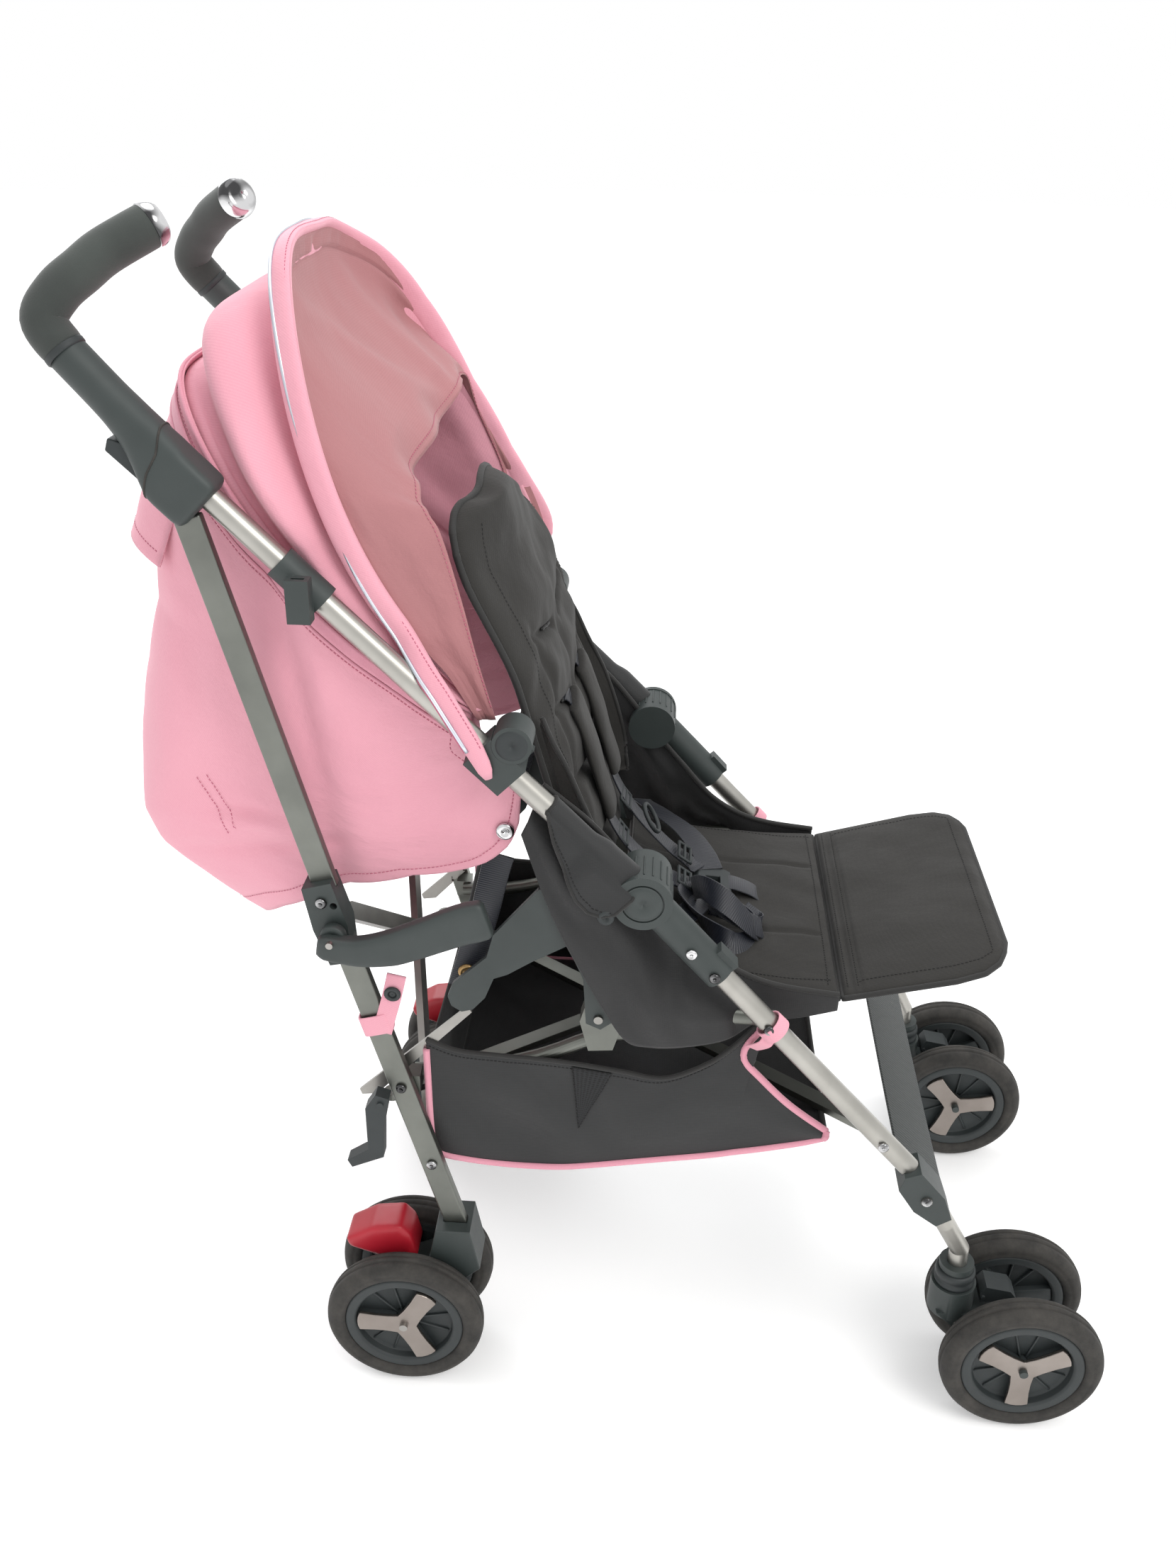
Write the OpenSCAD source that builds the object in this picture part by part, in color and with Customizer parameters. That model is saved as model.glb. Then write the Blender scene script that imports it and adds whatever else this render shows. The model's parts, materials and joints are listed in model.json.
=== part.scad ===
// Folding baby stroller, in millimetres. +Z is up, the child faces -Y, +X is the stroller's left.
// The origin is on the floor, in the middle of the stroller's box.
// Side pieces are drawn once for the left side and mirrored for the right.

/* [Frame] */
// Outer diameter of the push tubes and front legs
tube_d = 19; // [16:0.5:20]
// Distance from the middle of the stroller to a push tube's axis
tube_x = 180; // [178:1:184]
// How far back of the middle the fold hub sits (negative is forward)
hub_y = -6; // [-12:1:0]
// Height of the fold hub's axis
hub_z = 543.5; // [538:0.5:548]
// Diameter of the fold hub's drum
hub_d = 50; // [48:1:54]
// Slope of the push tubes from level
push_slope = 44.6; // [44:0.1:45.2]
// Slope of the front legs from level
leg_slope = 46.9; // [46.5:0.1:47.3]
// Width of the flat rear legs, seen from the side
rear_leg_w = 21; // [16:1:22]
// Thickness of the flat rear legs
rear_leg_t = 10; // [6:1:10]
// Width of the flat cross bars
bar_w = 16; // [12:1:16]
// Thickness of the flat cross bars
bar_t = 7; // [5:0.5:7]

/* [Wheels] */
// Outer diameter of all eight wheels
wheel_d = 152; // [140:1:152]
// Width of a tyre
wheel_w = 28; // [24:1:28]
// Distance from the middle to the outer front wheels
front_outer_x = 229; // [229:1:232]
// Distance from the middle to the outer rear wheels
rear_outer_x = 219; // [219:1:222]
// Distance from the middle to the inner wheels
inner_x = 144; // [142:1:144]
// Place of the front axle, forward of the middle
front_axle_y = -379; // [-380:1:-376]
// Place of the rear axle, back of the middle
rear_axle_y = 207; // [205:1:209]
// Diameter of the axles
axle_d = 8; // [6:1:10]

/* [Seat and fabrics] */
// Width of the seat cushion
seat_w = 292; // [260:2:292]
// Thickness of the backrest pad
back_t = 24; // [16:1:26]
// Width of the calf rest
calf_w = 300; // [260:2:304]
// Radius of the canopy's front hoop about its pivot
hoop_r = 398; // [380:1:400]
// Radius of the canopy's rear bow about its pivot
bow_r = 373; // [370:1:376]
// Thickness of the canopy and basket fabric solids
cloth_t = 3; // [2:0.5:3]

/* [Hidden] */
$fn = 48;

gap = 0.1;          // clearance round a fixed tube in its socket
run_gap = 0.05;     // radial clearance of a running fit
wheel_r = wheel_d / 2;
tube_r = tube_d / 2;
axle_r = axle_d / 2;
hub = [tube_x, hub_y, hub_z];
push_dir = [0, cos(push_slope), sin(push_slope)];
splay = 0.04;       // how much the front legs lean outwards
leg_dir = [splay, -cos(leg_slope), -sin(leg_slope)];
function on_push(d) = hub + d * push_dir;
function on_leg(d) = hub + d * leg_dir;

// Places along the push tube and front leg, measured from the hub's axis
tube_start = 27;
leg_start = 62;
leg_end = 372;
neck_end = 100;
canopy_clip_at = 170;
tab_clip_at = 374;

// Front caster
swivel = [186.5, -316, 0];
stem_r = 9;
stem_low = 126;
stem_points = [[on_leg(388)[0], -271, 258], [on_leg(388)[0] - 3, -297, 210],
    [swivel[0], swivel[1], 174], [swivel[0], swivel[1], stem_low]];

// Rear leg: top, both sides of the hinge, and foot
rear_top = [186, 340, 856];
rear_mid_up = [186, 259, 541];
rear_mid_low = [184, 254, 508];
rear_foot = [184, 152, 140];
rear_lean = atan((rear_mid_low[1] - rear_foot[1]) / (rear_mid_low[2] - rear_foot[2]));
block_x = (rear_outer_x + inner_x) / 2;

// Cross bars
base_z = 297;
base_end = [160, 220];            // end pivots from the middle: across, along
base_turn = atan(base_end[0] / base_end[1]);
base_half = norm(base_end);
rear_cross_z = 375;
rear_cross_y = rear_foot[1] + (rear_cross_z - rear_foot[2]) * tan(rear_lean);
rear_end = [160, 129];            // end pivots from the middle: across, up the legs
rear_turn = atan(rear_end[1] / rear_end[0]);
rear_half = norm(rear_end);

// Pivots
canopy_pivot = [101, 683];
back_pivot = [29, 411];
calf_pivot = [-191, 424];
hinge_pin = [251, 506];

silver = "#b9b4aa";
steel = "#9a9a98";
plastic = "#454c4b";
foam = "#3b4040";
rubber = "#4a4746";
charcoal = "#3d3a3b";
navy = "#23262e";
pink = "#eea0b6";

// ---------- helpers ----------
module left(side) { if (side > 0) children(); else mirror([1, 0, 0]) children(); }

// A round bar from a to b
module rod(a, b, r) {
    v = b - a;
    translate(a) rotate([0, acos(v[2] / norm(v)), atan2(v[1], v[0])]) cylinder(h = norm(v), r = r);
}

// A round bar through several points, with ball corners
module bent_rod(points, r) {
    for (i = [0 : len(points) - 2]) rod(points[i], points[i + 1], r);
    for (i = [1 : len(points) - 2]) translate(points[i]) sphere(r = r);
}

// A side outline in (y, z), extruded from x0 to x1
module side_plate(outline, x0, x1) {
    translate([x0, 0, 0]) rotate([90, 0, 90]) linear_extrude(x1 - x0) polygon(outline);
}

// A round bar along X
module cross_pin(y, z, x0, x1, r) { translate([x0, y, z]) rotate([0, 90, 0]) cylinder(h = x1 - x0, r = r); }

// A flat bar in the side plane from a to b, w wide and t thick, with a centre plane at a's x
module flat_bar(a, b, w, t) {
    dy = b[1] - a[1];
    dz = b[2] - a[2];
    translate(a) rotate([atan2(-dy, dz), 0, 0]) translate([-t / 2, -w / 2, 0]) cube([t, w, norm([dy, dz])]);
}

// A block along the direction in the side plane whose slope is given, centred on p
module sloped_block(p, slope, size) { translate(p) rotate([slope, 0, 0]) cube(size, center = true); }

// A smooth curve through points p at parameter u from 0 to len(p) - 1
function clamp_i(p, i) = p[max(0, min(len(p) - 1, i))];
function along(p, u) = let (i = min(floor(u), len(p) - 2), t = u - i,
    a = clamp_i(p, i - 1), b = p[i], c = p[i + 1], d = clamp_i(p, i + 2))
    0.5 * (2 * b + (c - a) * t + (2 * a - 5 * b + 4 * c - d) * t * t
        + (3 * b - a - 3 * c + d) * t * t * t);
function curve(p, steps) = [for (i = [0 : steps]) along(p, i * (len(p) - 1) / steps)];
function unit(v) = v / norm(v);

// A closed tube with elliptical section swept along a path; half sizes a (across) and b
module swept(path, a, b, sides = 20) {
    n = len(path);
    points = [for (i = [0 : n - 1])
        let (t = unit(path[min(n - 1, i + 1)] - path[max(0, i - 1)]),
             u = unit(cross([1, 0.01, 0], t)), v = cross(t, u))
        for (k = [0 : sides - 1]) path[i] + b * cos(k * 360 / sides) * u + a * sin(k * 360 / sides) * v];
    walls = [for (i = [0 : n - 2], k = [0 : sides - 1]) let (m = (k + 1) % sides)
        [i * sides + k, (i + 1) * sides + k, (i + 1) * sides + m, i * sides + m]];
    first = [for (k = [0 : sides - 1]) k];
    last = [for (k = [0 : sides - 1]) (n - 1) * sides + sides - 1 - k];
    polyhedron(points = points, faces = concat(walls, [first, last]), convexity = 6);
}

// ---------- push tube and handle ----------
grip_path = [[172, 420, 970], [168, 433, 989], [158, 424, 1007], [145, 410, 1020],
    [131, 396, 1032], [107, 367, 1049]];
sleeve_low = on_push(500);
sleeve_high = grip_path[0];
grip_r = 16.5;

module push_tube(side) { color(silver) left(side) rod(on_push(tube_start), on_push(488), tube_r); }

module handle_grip(side) { color(foam) left(side) swept(curve(grip_path, 16), grip_r, grip_r - 0.5); }

module handle_cap(side) {
    tip = grip_path[5];
    out = unit(grip_path[5] - grip_path[4]);
    color("#c8c8c8") left(side) rod(tip + 0.2 * out, tip + 6 * out, grip_r - 1);
}

module handle_housing(side) {
    wedge = [[344, 922], [310, 885], [313, 878], [338, 851], [349, 853], [363, 871], [364, 905]];
    color(plastic) left(side) difference() {
        union() {
            side_plate(wedge, tube_x - 14, tube_x + 20);
            rod(on_push(478), sleeve_high - 3.3 * unit(sleeve_high - sleeve_low), 15);
        }
        rod(on_push(400), on_push(488.1), tube_r + gap);
        flat_bar(rear_top - [0, 40, 152], rear_top + [0, 0.05, 0.2], rear_leg_w + 2 * gap,
            rear_leg_t + 2 * gap);
    }
}

module handle_trigger(side) {
    hook = [[372, 879], [396, 902], [393, 911], [382.6, 907.7], [367.5, 891.6]];
    color(plastic) left(side) side_plate(hook, 171, 185);
}

// ---------- hub, clips and front leg ----------
module fold_hub(side) {
    color(plastic) left(side) difference() {
        union() {
            cross_pin(hub_y, hub_z, 146, 190, hub_d / 2 - 1);
            cross_pin(hub_y, hub_z, 190, 196, hub_d / 2);
            rod(on_push(12), on_push(52), 14);
            rod(on_leg(12), on_leg(neck_end), 15);
            translate(on_leg(neck_end - 6)) rotate([leg_slope, 0, 0]) translate([0, 4, 14])
                cube([14, 22, 9], center = true);
        }
        rod(on_push(tube_start - gap), on_push(60), tube_r + gap);
        rod(on_leg(leg_start - gap), on_leg(neck_end + 20), tube_r + gap);
        difference() {
            cross_pin(hub_y, hub_z, 194.5, 197, 18);
            cross_pin(hub_y, hub_z, 190, 198, 16.5);
        }
    }
}

module tube_clips(side) {
    color(plastic) left(side) difference() {
        union() {
            translate([tube_x + 1, 0, 0]) sloped_block([0, on_push(canopy_clip_at)[1],
                on_push(canopy_clip_at)[2]],
                push_slope, [29, 38, 32]);
            translate([171, 105, 668]) rotate([push_slope, 0, 0]) cube([9, 26, 30], center = true);
            cross_pin(canopy_pivot[0], canopy_pivot[1], 166, 196, 16);
            rod(on_push(tab_clip_at - 22), on_push(tab_clip_at + 22), 13.5);
            translate([tube_x + 19, on_push(tab_clip_at)[1] - 2, on_push(tab_clip_at)[2] - 8])
                cube([13, 18, 34], center = true);
        }
        rod(on_push(100), on_push(440), tube_r + gap);
        translate([tube_x + 19, on_push(tab_clip_at)[1] - 2, on_push(tab_clip_at)[2] - 8])
            cube([4, 10, 60], center = true);
    }
}

module front_leg(side) {
    color(silver) left(side) {
        rod(on_leg(leg_start), on_leg(leg_end), tube_r);
        bent_rod(stem_points, stem_r);
    }
}

module leg_joint(side) {
    shell = [[-250, 277], [-246, 262], [-262, 238], [-284, 222], [-297, 231], [-288, 255], [-264, 283]];
    x_mid = on_leg(385)[0];
    color(plastic) left(side) difference() {
        side_plate(shell, x_mid - 14, x_mid + 15);
        rod(on_leg(300), on_leg(leg_end + gap), tube_r + gap);
        bent_rod([stem_points[0] + [0, -0.02, 0.1], stem_points[1], stem_points[2]], stem_r + gap);
    }
}

// ---------- rear leg, hinge and rail ----------
module rear_leg(side) {
    color(silver) left(side) {
        flat_bar(rear_mid_up, rear_top, rear_leg_w, rear_leg_t);
        flat_bar(rear_foot, rear_mid_low, rear_leg_w, rear_leg_t);
    }
}

module leg_hinge(side) {
    body = [[238, 474], [258, 470], [270, 505], [277, 545], [252, 552], [240, 510]];
    color(plastic) left(side) difference() {
        side_plate(body, 176, 200);
        flat_bar(rear_foot, rear_mid_low + [0, 0.05, gap], rear_leg_w + 2 * gap, rear_leg_t + 2 * gap);
        flat_bar(rear_mid_up - [0, 0.05, gap], rear_top, rear_leg_w + 2 * gap, rear_leg_t + 2 * gap);
        cross_pin(hinge_pin[0], hinge_pin[1] + 24, 150, 210, 3 + gap);
    }
}

rail_x = 158;
rail_path = [[rail_x, -30, 386], [rail_x, 23, 380], [rail_x, 81, 352], [rail_x, 140, 334],
    [rail_x, 198, 328]];
module seat_rail(side) {
    bracket = [[8, 398], [16, 370], [38, 368], [46, 400], [40, 421], [14, 423]];
    color(steel) left(side) {
        difference() {
            union() {
                side_plate(bracket, rail_x - 10, rail_x + 10);
                rod([rail_x, 10, 411], [rail_x + 10, -118, 414], 7);
                swept(curve(rail_path, 14), 7, 7);
            }
            cross_pin(back_pivot[0], back_pivot[1], rail_x - 20, rail_x + 20, 4 + run_gap);
        }
        translate([172, -118, 414]) cube([9, 16, 18], center = true);
        translate([169.2, 198, 328]) cube([18.4, 16, 18], center = true);
    }
}

module rear_axle_block(side) {
    block = [[136, 126], [145, 172], [178, 172], [188, 120], [222, 104], [232, 76], [218, 54], [196, 54],
        [180, 84]];
    color(plastic) left(side) difference() {
        side_plate(block, block_x - 21, block_x + 21);
        flat_bar(rear_foot - [0, 0, gap], rear_mid_low, rear_leg_w + 2 * gap, rear_leg_t + 2 * gap);
        cross_pin(rear_axle_y, wheel_r, 100, 240, axle_r + gap);
    }
}

// Steel rivets, the rear axle and the notched recline rack of one side
module steel_fittings(side) {
    color(steel) left(side) {
        for (d = [62, 92]) translate([on_leg(d)[0] + 15.3, on_leg(d)[1], on_leg(d)[2]]) rotate([0, 90, 0])
            cylinder(h = 2, r = 4);
        for (d = [165, 325]) translate([on_leg(d)[0] + tube_r + 0.3, on_leg(d)[1], on_leg(d)[2]])
            rotate([0, 90, 0]) cylinder(h = 2, r = 4);
        translate([on_leg(385)[0] + 15, -272, 252]) rotate([0, 90, 0]) cylinder(h = 2, r = 5);
        for (p = [[261, 533], [251, 506]]) cross_pin(p[0], p[1], 200, 202, 4.5);
        for (z = [332, 243]) cross_pin(rear_foot[1] + (z - rear_foot[2]) * tan(rear_lean), z,
            rear_foot[0] + rear_leg_t / 2, rear_foot[0] + rear_leg_t / 2 + 2, 4);
        cross_pin(rear_axle_y, wheel_r, inner_x - 18, rear_outer_x + 16, axle_r);
        cross_pin(back_pivot[0], back_pivot[1], 147, 180, 4);
        if (side < 0) cross_pin(hinge_pin[0], hinge_pin[1], 202, 224, 3);
        difference() {
            side_plate([[146, 412], [142, 406], [232, 308.5], [246, 306.5], [248, 312]], 168, 170.6);
            for (i = [0 : 4]) translate([160, 158 + i * 13, 391 - i * 14]) cube([20, 6, 6], center = true);
        }
    }
}

module recline_arm(side) {
    arm = [[18, 419], [16, 408], [27, 399], [40, 405], [43, 452], [57, 486], [87, 468], [109, 453], [121, 448],
        [129, 427], [140, 414], [150, 411], [159, 417], [162, 427], [157, 441], [127, 470], [121, 493],
        [82, 541], [64, 546], [44, 522]];
    color(plastic) left(side) {
        difference() {
            side_plate(arm, 172, 177);
            cross_pin(back_pivot[0], back_pivot[1], 150, 190, 4 + run_gap);
        }
    }
}

// ---------- casters, wheels and brakes ----------
module caster(side) {
    cup_r = 21;
    fork = [[-300, 108], [-334, 108], [-352, 100], [-394, 84], [-396, 66], [-380, 58], [-352, 66],
        [-322, 86]];
    color(plastic) left(side) difference() {
        union() {
            translate([swivel[0], swivel[1], 100]) cylinder(h = 34, r = cup_r);
            translate([swivel[0], swivel[1], 134]) cylinder(h = 24, r = 16);
            side_plate(fork, swivel[0] - 20, swivel[0] + 20);
            cross_pin(front_axle_y, wheel_r, swivel[0] - 26, swivel[0] + 26, 13);
        }
        translate([swivel[0], swivel[1], stem_low - 0.3]) cylinder(h = 60, r = stem_r + run_gap);
        cross_pin(front_axle_y, wheel_r, 100, 260, axle_r + gap);
    }
    color(steel) left(side) cross_pin(front_axle_y, wheel_r, inner_x - 18, front_outer_x + 16, axle_r);
}

// The swivel lock, a small lever on the front of the caster's cup
module caster_lock(side) {
    lever = [[-341, 117], [-340, 128], [-345, 136], [-368, 132], [-374, 124], [-354, 118]];
    color(plastic) left(side) {
        side_plate(lever, swivel[0] - 11, swivel[0] + 11);
        cross_pin(-343, 124, swivel[0] - 13, swivel[0] + 13, 2);
    }
}

module brake_pedal(side) {
    pedal = [[196, 134], [204, 128], [232, 131], [263, 142], [266, 152], [240, 168], [212, 172],
        [202, 160]];
    color("#c8202c") left(side) {
        side_plate(pedal, block_x - 17, block_x + 19);
        cross_pin(204, 140, block_x - 19, block_x + 21, 3);
    }
}

module wheel(x, y) {
    spoke_r = 47;
    hole_r = 13;
    translate([x, y, wheel_r]) rotate([0, 90, 0]) {
        color(rubber) rotate_extrude($fn = 96)
            polygon([[57 + gap, -11], [62, -wheel_w / 2], [70, -wheel_w / 2 + 1.5],
            [75, -8], [wheel_r, 0], [75, 8], [70, wheel_w / 2 - 1.5], [62, wheel_w / 2], [57 + gap, 11]]);
        color(plastic) difference() {
            union() {
                rotate_extrude($fn = 96) polygon([[spoke_r, -9], [57, -11], [57, 11], [spoke_r, 9]]);
                cylinder(h = 22, r = spoke_r, center = true, $fn = 96);
            }
            for (a = [0, 120, 240]) rotate(a + 60) translate([30, 0, 0])
                cylinder(h = 40, r = hole_r, center = true);
            cylinder(h = 60, r = axle_r + run_gap, center = true);
        }
    }
}

// ---------- cross bars ----------
// A flat bar lying in XY, reaching half each way, from z0 up, with a bolt hole in the middle
module cross_bar(half) {
    difference() {
        union() {
            translate([0, 0, bar_t / 2]) cube([bar_w, 2 * half, bar_t], center = true);
            for (e = [-1, 1]) translate([0, e * half, 0]) cylinder(h = bar_t, r = bar_w / 2);
        }
        translate([0, 0, -1]) cylinder(h = bar_t + 2, r = 4 + run_gap);
    }
}
module base_bar_a() { color(steel) translate([0, 0, base_z + 0.5]) rotate(base_turn) cross_bar(base_half); }
module base_bar_b() { color(steel) translate([0, 0, base_z - 0.5 - bar_t]) rotate(-base_turn)
    cross_bar(base_half); }
// The rear bars lie in the plane of the rear legs: local Y runs up the legs
module on_rear_plane() { translate([0, rear_cross_y, rear_cross_z]) rotate([90 - rear_lean, 0, 0])
    children(); }
module rear_bar_a() { color(steel) on_rear_plane() translate([0, 0, 0.5]) rotate(90 - rear_turn)
    cross_bar(rear_half); }
module rear_bar_b() { color(steel) on_rear_plane() translate([0, 0, -0.5 - bar_t]) rotate(rear_turn - 90)
    cross_bar(rear_half); }
module cross_bolt() {
    translate([0, 0, -10]) cylinder(h = 20, r = 4);
    for (e = [-1, 1]) translate([0, 0, e * 9.5]) cylinder(h = 3, r = 7, center = true);
}
module cross_bolts() {
    color(steel) {
        translate([0, 0, base_z]) cross_bolt();
        on_rear_plane() cross_bolt();
    }
}

// ---------- soft parts ----------
// A bow of the canopy: half width w, height r above the pivot, corner power p, at angle a
function bow_point(w, r, p, a, s) = let (c = cos(s), k = sin(s),
    x = w * sign(c) * pow(abs(c), 2 / p), h = r * pow(k, 2 / p))
    [x, canopy_pivot[0] + h * cos(a), canopy_pivot[1] + h * sin(a)];
// A shell through bows; each row is [angle, radius, half width, corner power]
module bow_shell(rows, low, steps = 16) {
    n = len(rows);
    m = steps + 1;
    function ring(row, inset) = [for (i = [0 : steps]) let (s = low + (180 - 2 * low) * i / steps)
        bow_point(row[2] - inset, row[1] - inset, row[3], row[0], s)];
    points = concat([for (row = rows) each ring(row, 0)], [for (row = rows) each ring(row, cloth_t)]);
    h = n * m;
    outer = [for (i = [0 : n - 2], k = [0 : steps - 1]) [i * m + k, (i + 1) * m + k, (i + 1) * m + k + 1,
        i * m + k + 1]];
    inner = [for (f = outer) [f[3] + h, f[2] + h, f[1] + h, f[0] + h]];
    last = (n - 1) * m;
    ends = [for (k = [0 : steps - 1]) each [[h + k + 1, h + k, k, k + 1],
        [last + k + 1, last + k, h + last + k, h + last + k + 1]]];
    feet = [for (i = [0 : n - 2]) each [[h + i * m, h + (i + 1) * m, (i + 1) * m, i * m],
        [i * m + steps, (i + 1) * m + steps, h + (i + 1) * m + steps, h + i * m + steps]]];
    polyhedron(points = points, faces = concat(outer, inner, ends, feet), convexity = 8);
}

// Angles are from straight back (+Y), rising
canopy_rear_rows = [[-37, 296, 161, 5], [-19, 345, 161, 5], [-4, 325, 161, 5], [8, 322, 161, 5],
    [20, 326, 161, 4.5], [32, 350, 162, 4], [44, bow_r, 162, 4]];
module canopy_rear() {
    skirt = [[146, 645], [128, 600], [130, 562], [256, 546], [318, 507]];
    color(pink) {
        bow_shell(canopy_rear_rows, 0.06);
        for (s = [-1, 1]) left(s) side_plate(skirt, 161 - cloth_t, 161);
    }
}

canopy_front_rows = [[3, 300, 154, 4.5], [12, 300, 154, 4.5], [20, 308, 154, 4.5], [32, 334, 154, 4.5],
    [44, 357, 155, 4.5], [52, 370, 157, 4.6], [58, 385, 161, 4.8], [62.8, hoop_r, 163, 5]];
module canopy_front() { color(pink) bow_shell(canopy_front_rows, 0.02); }

module seat_pad() {
    outline = [[-182, 414], [-182, 430], [-120, 434], [-65, 440], [-10, 448], [12, 466], [26, 468],
        [30, 440], [16, 402], [-32, 386], [-110, 396]];
    color(charcoal) side_plate(outline, -seat_w / 2, seat_w / 2);
}

back_low = [40, 476];
back_high = [150, 866];
module backrest_pad() {
    lean = atan2(back_high[0] - back_low[0], back_high[1] - back_low[1]);
    len_up = norm(back_high - back_low);
    color(charcoal) translate([0, back_low[0], back_low[1]]) rotate([-lean, 0, 0]) rotate([90, 0, 0])
        linear_extrude(back_t) polygon([[-142, 0], [142, 0], [142, 180], [118, len_up - 40], [84, len_up],
            [-84, len_up], [-118, len_up - 40], [-142, 180]]);
}

module calf_rest_pad() {
    tilt = 15.5;
    pad_r = 8;
    half = calf_w / 2;
    color(charcoal) translate([0, calf_pivot[0], calf_pivot[1]]) rotate([-tilt, 0, 0]) {
        translate([0, 0, -pad_r]) linear_extrude(2 * pad_r)
            polygon([[4 - half, 0], [half - 4, 0], [half, -95],
            [half - 10, -131], [half - 40, -145], [40 - half, -145], [10 - half, -131], [-half, -95]]);
        rotate([0, 90, 0]) cylinder(h = calf_w - 8, r = pad_r, center = true);
    }
}

module basket() {
    side = [[-180, 296], [-168, 268], [-100, 240], [28, 234], [164, 238], [176, 300], [178, 338],
        [120, 340],
        [48, 338], [-20, 350], [-92, 390], [-104, 380], [-120, 330], [-150, 312]];
    floor_line = [[-168, 282], [-163, 264], [-98, 238], [28, 231.5], [164, 236], [164, 282],
        [161, 282], [161, 238.2], [28, 234.7], [-97, 241.2], [-160, 266.5], [-165, 282]];
    color("#2e2f31") union() {
        for (s = [-1, 1]) left(s) side_plate(side, 175 - cloth_t, 175);
        side_plate(floor_line, -173, 173);
    }
}

module foot_strap() {
    strap = [[-249, 263], [-252, 266], [-299, 219], [-296, 216]];
    color(plastic) side_plate(strap, -176, 176);
}

module harness() {
    web = 2;
    color(navy) {
        for (s = [-1, 1]) left(s) translate([22, 0, 0])
            side_plate([[-50, 443], [-50, 445], [-10, 451.8], [-10, 449.8]], 0, 25);
        side_plate([[-150, 434.5], [-150, 436.5], [-92, 440.5], [-92, 438.5]], -12, 12);
    }
}

module buckle() {
    color(plastic) difference() {
        side_plate([[-90, 439.5], [-90, 449], [-84, 452], [-58, 454], [-52, 450], [-52, 443]], -20, 20);
        translate([0, -72, 450.5]) cube([12, 14, 12], center = true);
    }
}

// ---------- pedals and carrying handle ----------
module fold_pedal() {
    pedal = [[214, 330], [226, 334], [236, 318], [236, 270], [256, 256], [252, 248], [222, 262],
        [220, 300]];
    color(plastic) left(-1) {
        side_plate(pedal, 190.5, 204);
        cross_pin(222, 324, 189.5, 206, 3);
    }
}

handle_line = [[214, 261, 500], [214, 232, 496], [214, 205, 500], [214, 184, 508], [214, 162, 518],
    [214, 142, 527], [214, 121, 534]];
module carry_handle() {
    color(plastic) left(-1) difference() {
        union() {
            swept(curve(handle_line, 15), 8, 14.5);
            cross_pin(hinge_pin[0], hinge_pin[1], 202.4, 222, 15);
        }
        cross_pin(hinge_pin[0], hinge_pin[1], 195, 230, 3 + run_gap);
    }
}

push_tube(1);  // push_tube_left
push_tube(-1);  // push_tube_right
handle_grip(1);  // handle_grip_left
handle_grip(-1);  // handle_grip_right
handle_cap(1);  // handle_cap_left
handle_cap(-1);  // handle_cap_right
handle_housing(1);  // handle_housing_left
handle_housing(-1);  // handle_housing_right
handle_trigger(1);  // handle_trigger_left
handle_trigger(-1);  // handle_trigger_right
fold_hub(1);  // fold_hub_left
fold_hub(-1);  // fold_hub_right
tube_clips(1);  // tube_clips_left
tube_clips(-1);  // tube_clips_right
front_leg(1);  // front_leg_left
front_leg(-1);  // front_leg_right
leg_joint(1);  // leg_joint_left
leg_joint(-1);  // leg_joint_right
rear_leg(1);  // rear_leg_left
rear_leg(-1);  // rear_leg_right
leg_hinge(1);  // leg_hinge_left
leg_hinge(-1);  // leg_hinge_right
seat_rail(1);  // seat_rail_left
seat_rail(-1);  // seat_rail_right
rear_axle_block(1);  // rear_axle_block_left
rear_axle_block(-1);  // rear_axle_block_right
steel_fittings(1);  // steel_fittings_left
steel_fittings(-1);  // steel_fittings_right
recline_arm(1);  // recline_arm_left
recline_arm(-1);  // recline_arm_right
caster(1);  // caster_left
caster(-1);  // caster_right
caster_lock(1);  // caster_lock_left
caster_lock(-1);  // caster_lock_right
brake_pedal(1);  // brake_pedal_left
brake_pedal(-1);  // brake_pedal_right
wheel(front_outer_x, front_axle_y);  // front_wheel_left_outer
wheel(inner_x, front_axle_y);  // front_wheel_left_inner
wheel(-front_outer_x, front_axle_y);  // front_wheel_right_outer
wheel(-inner_x, front_axle_y);  // front_wheel_right_inner
wheel(rear_outer_x, rear_axle_y);  // rear_wheel_left_outer
wheel(inner_x, rear_axle_y);  // rear_wheel_left_inner
wheel(-rear_outer_x, rear_axle_y);  // rear_wheel_right_outer
wheel(-inner_x, rear_axle_y);  // rear_wheel_right_inner
base_bar_a();
base_bar_b();
rear_bar_a();
rear_bar_b();
cross_bolts();
canopy_rear();
canopy_front();
seat_pad();
backrest_pad();
calf_rest_pad();
basket();
foot_strap();
harness();
buckle();
fold_pedal();
carry_handle();
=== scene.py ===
"""Looks of the folding baby stroller: cloth, foam, plastic, metal and rubber round the fixed CAD frame.

Lengths in this file are millimetres in the frame's own axes (+Z up, the child faces -Y, +X is the
stroller's left) and angles are degrees. build() turns them into metres.
"""

import functools
import json
import math

import bmesh
import bpy
import numpy as np
from mathutils import Matrix, Vector

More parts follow.
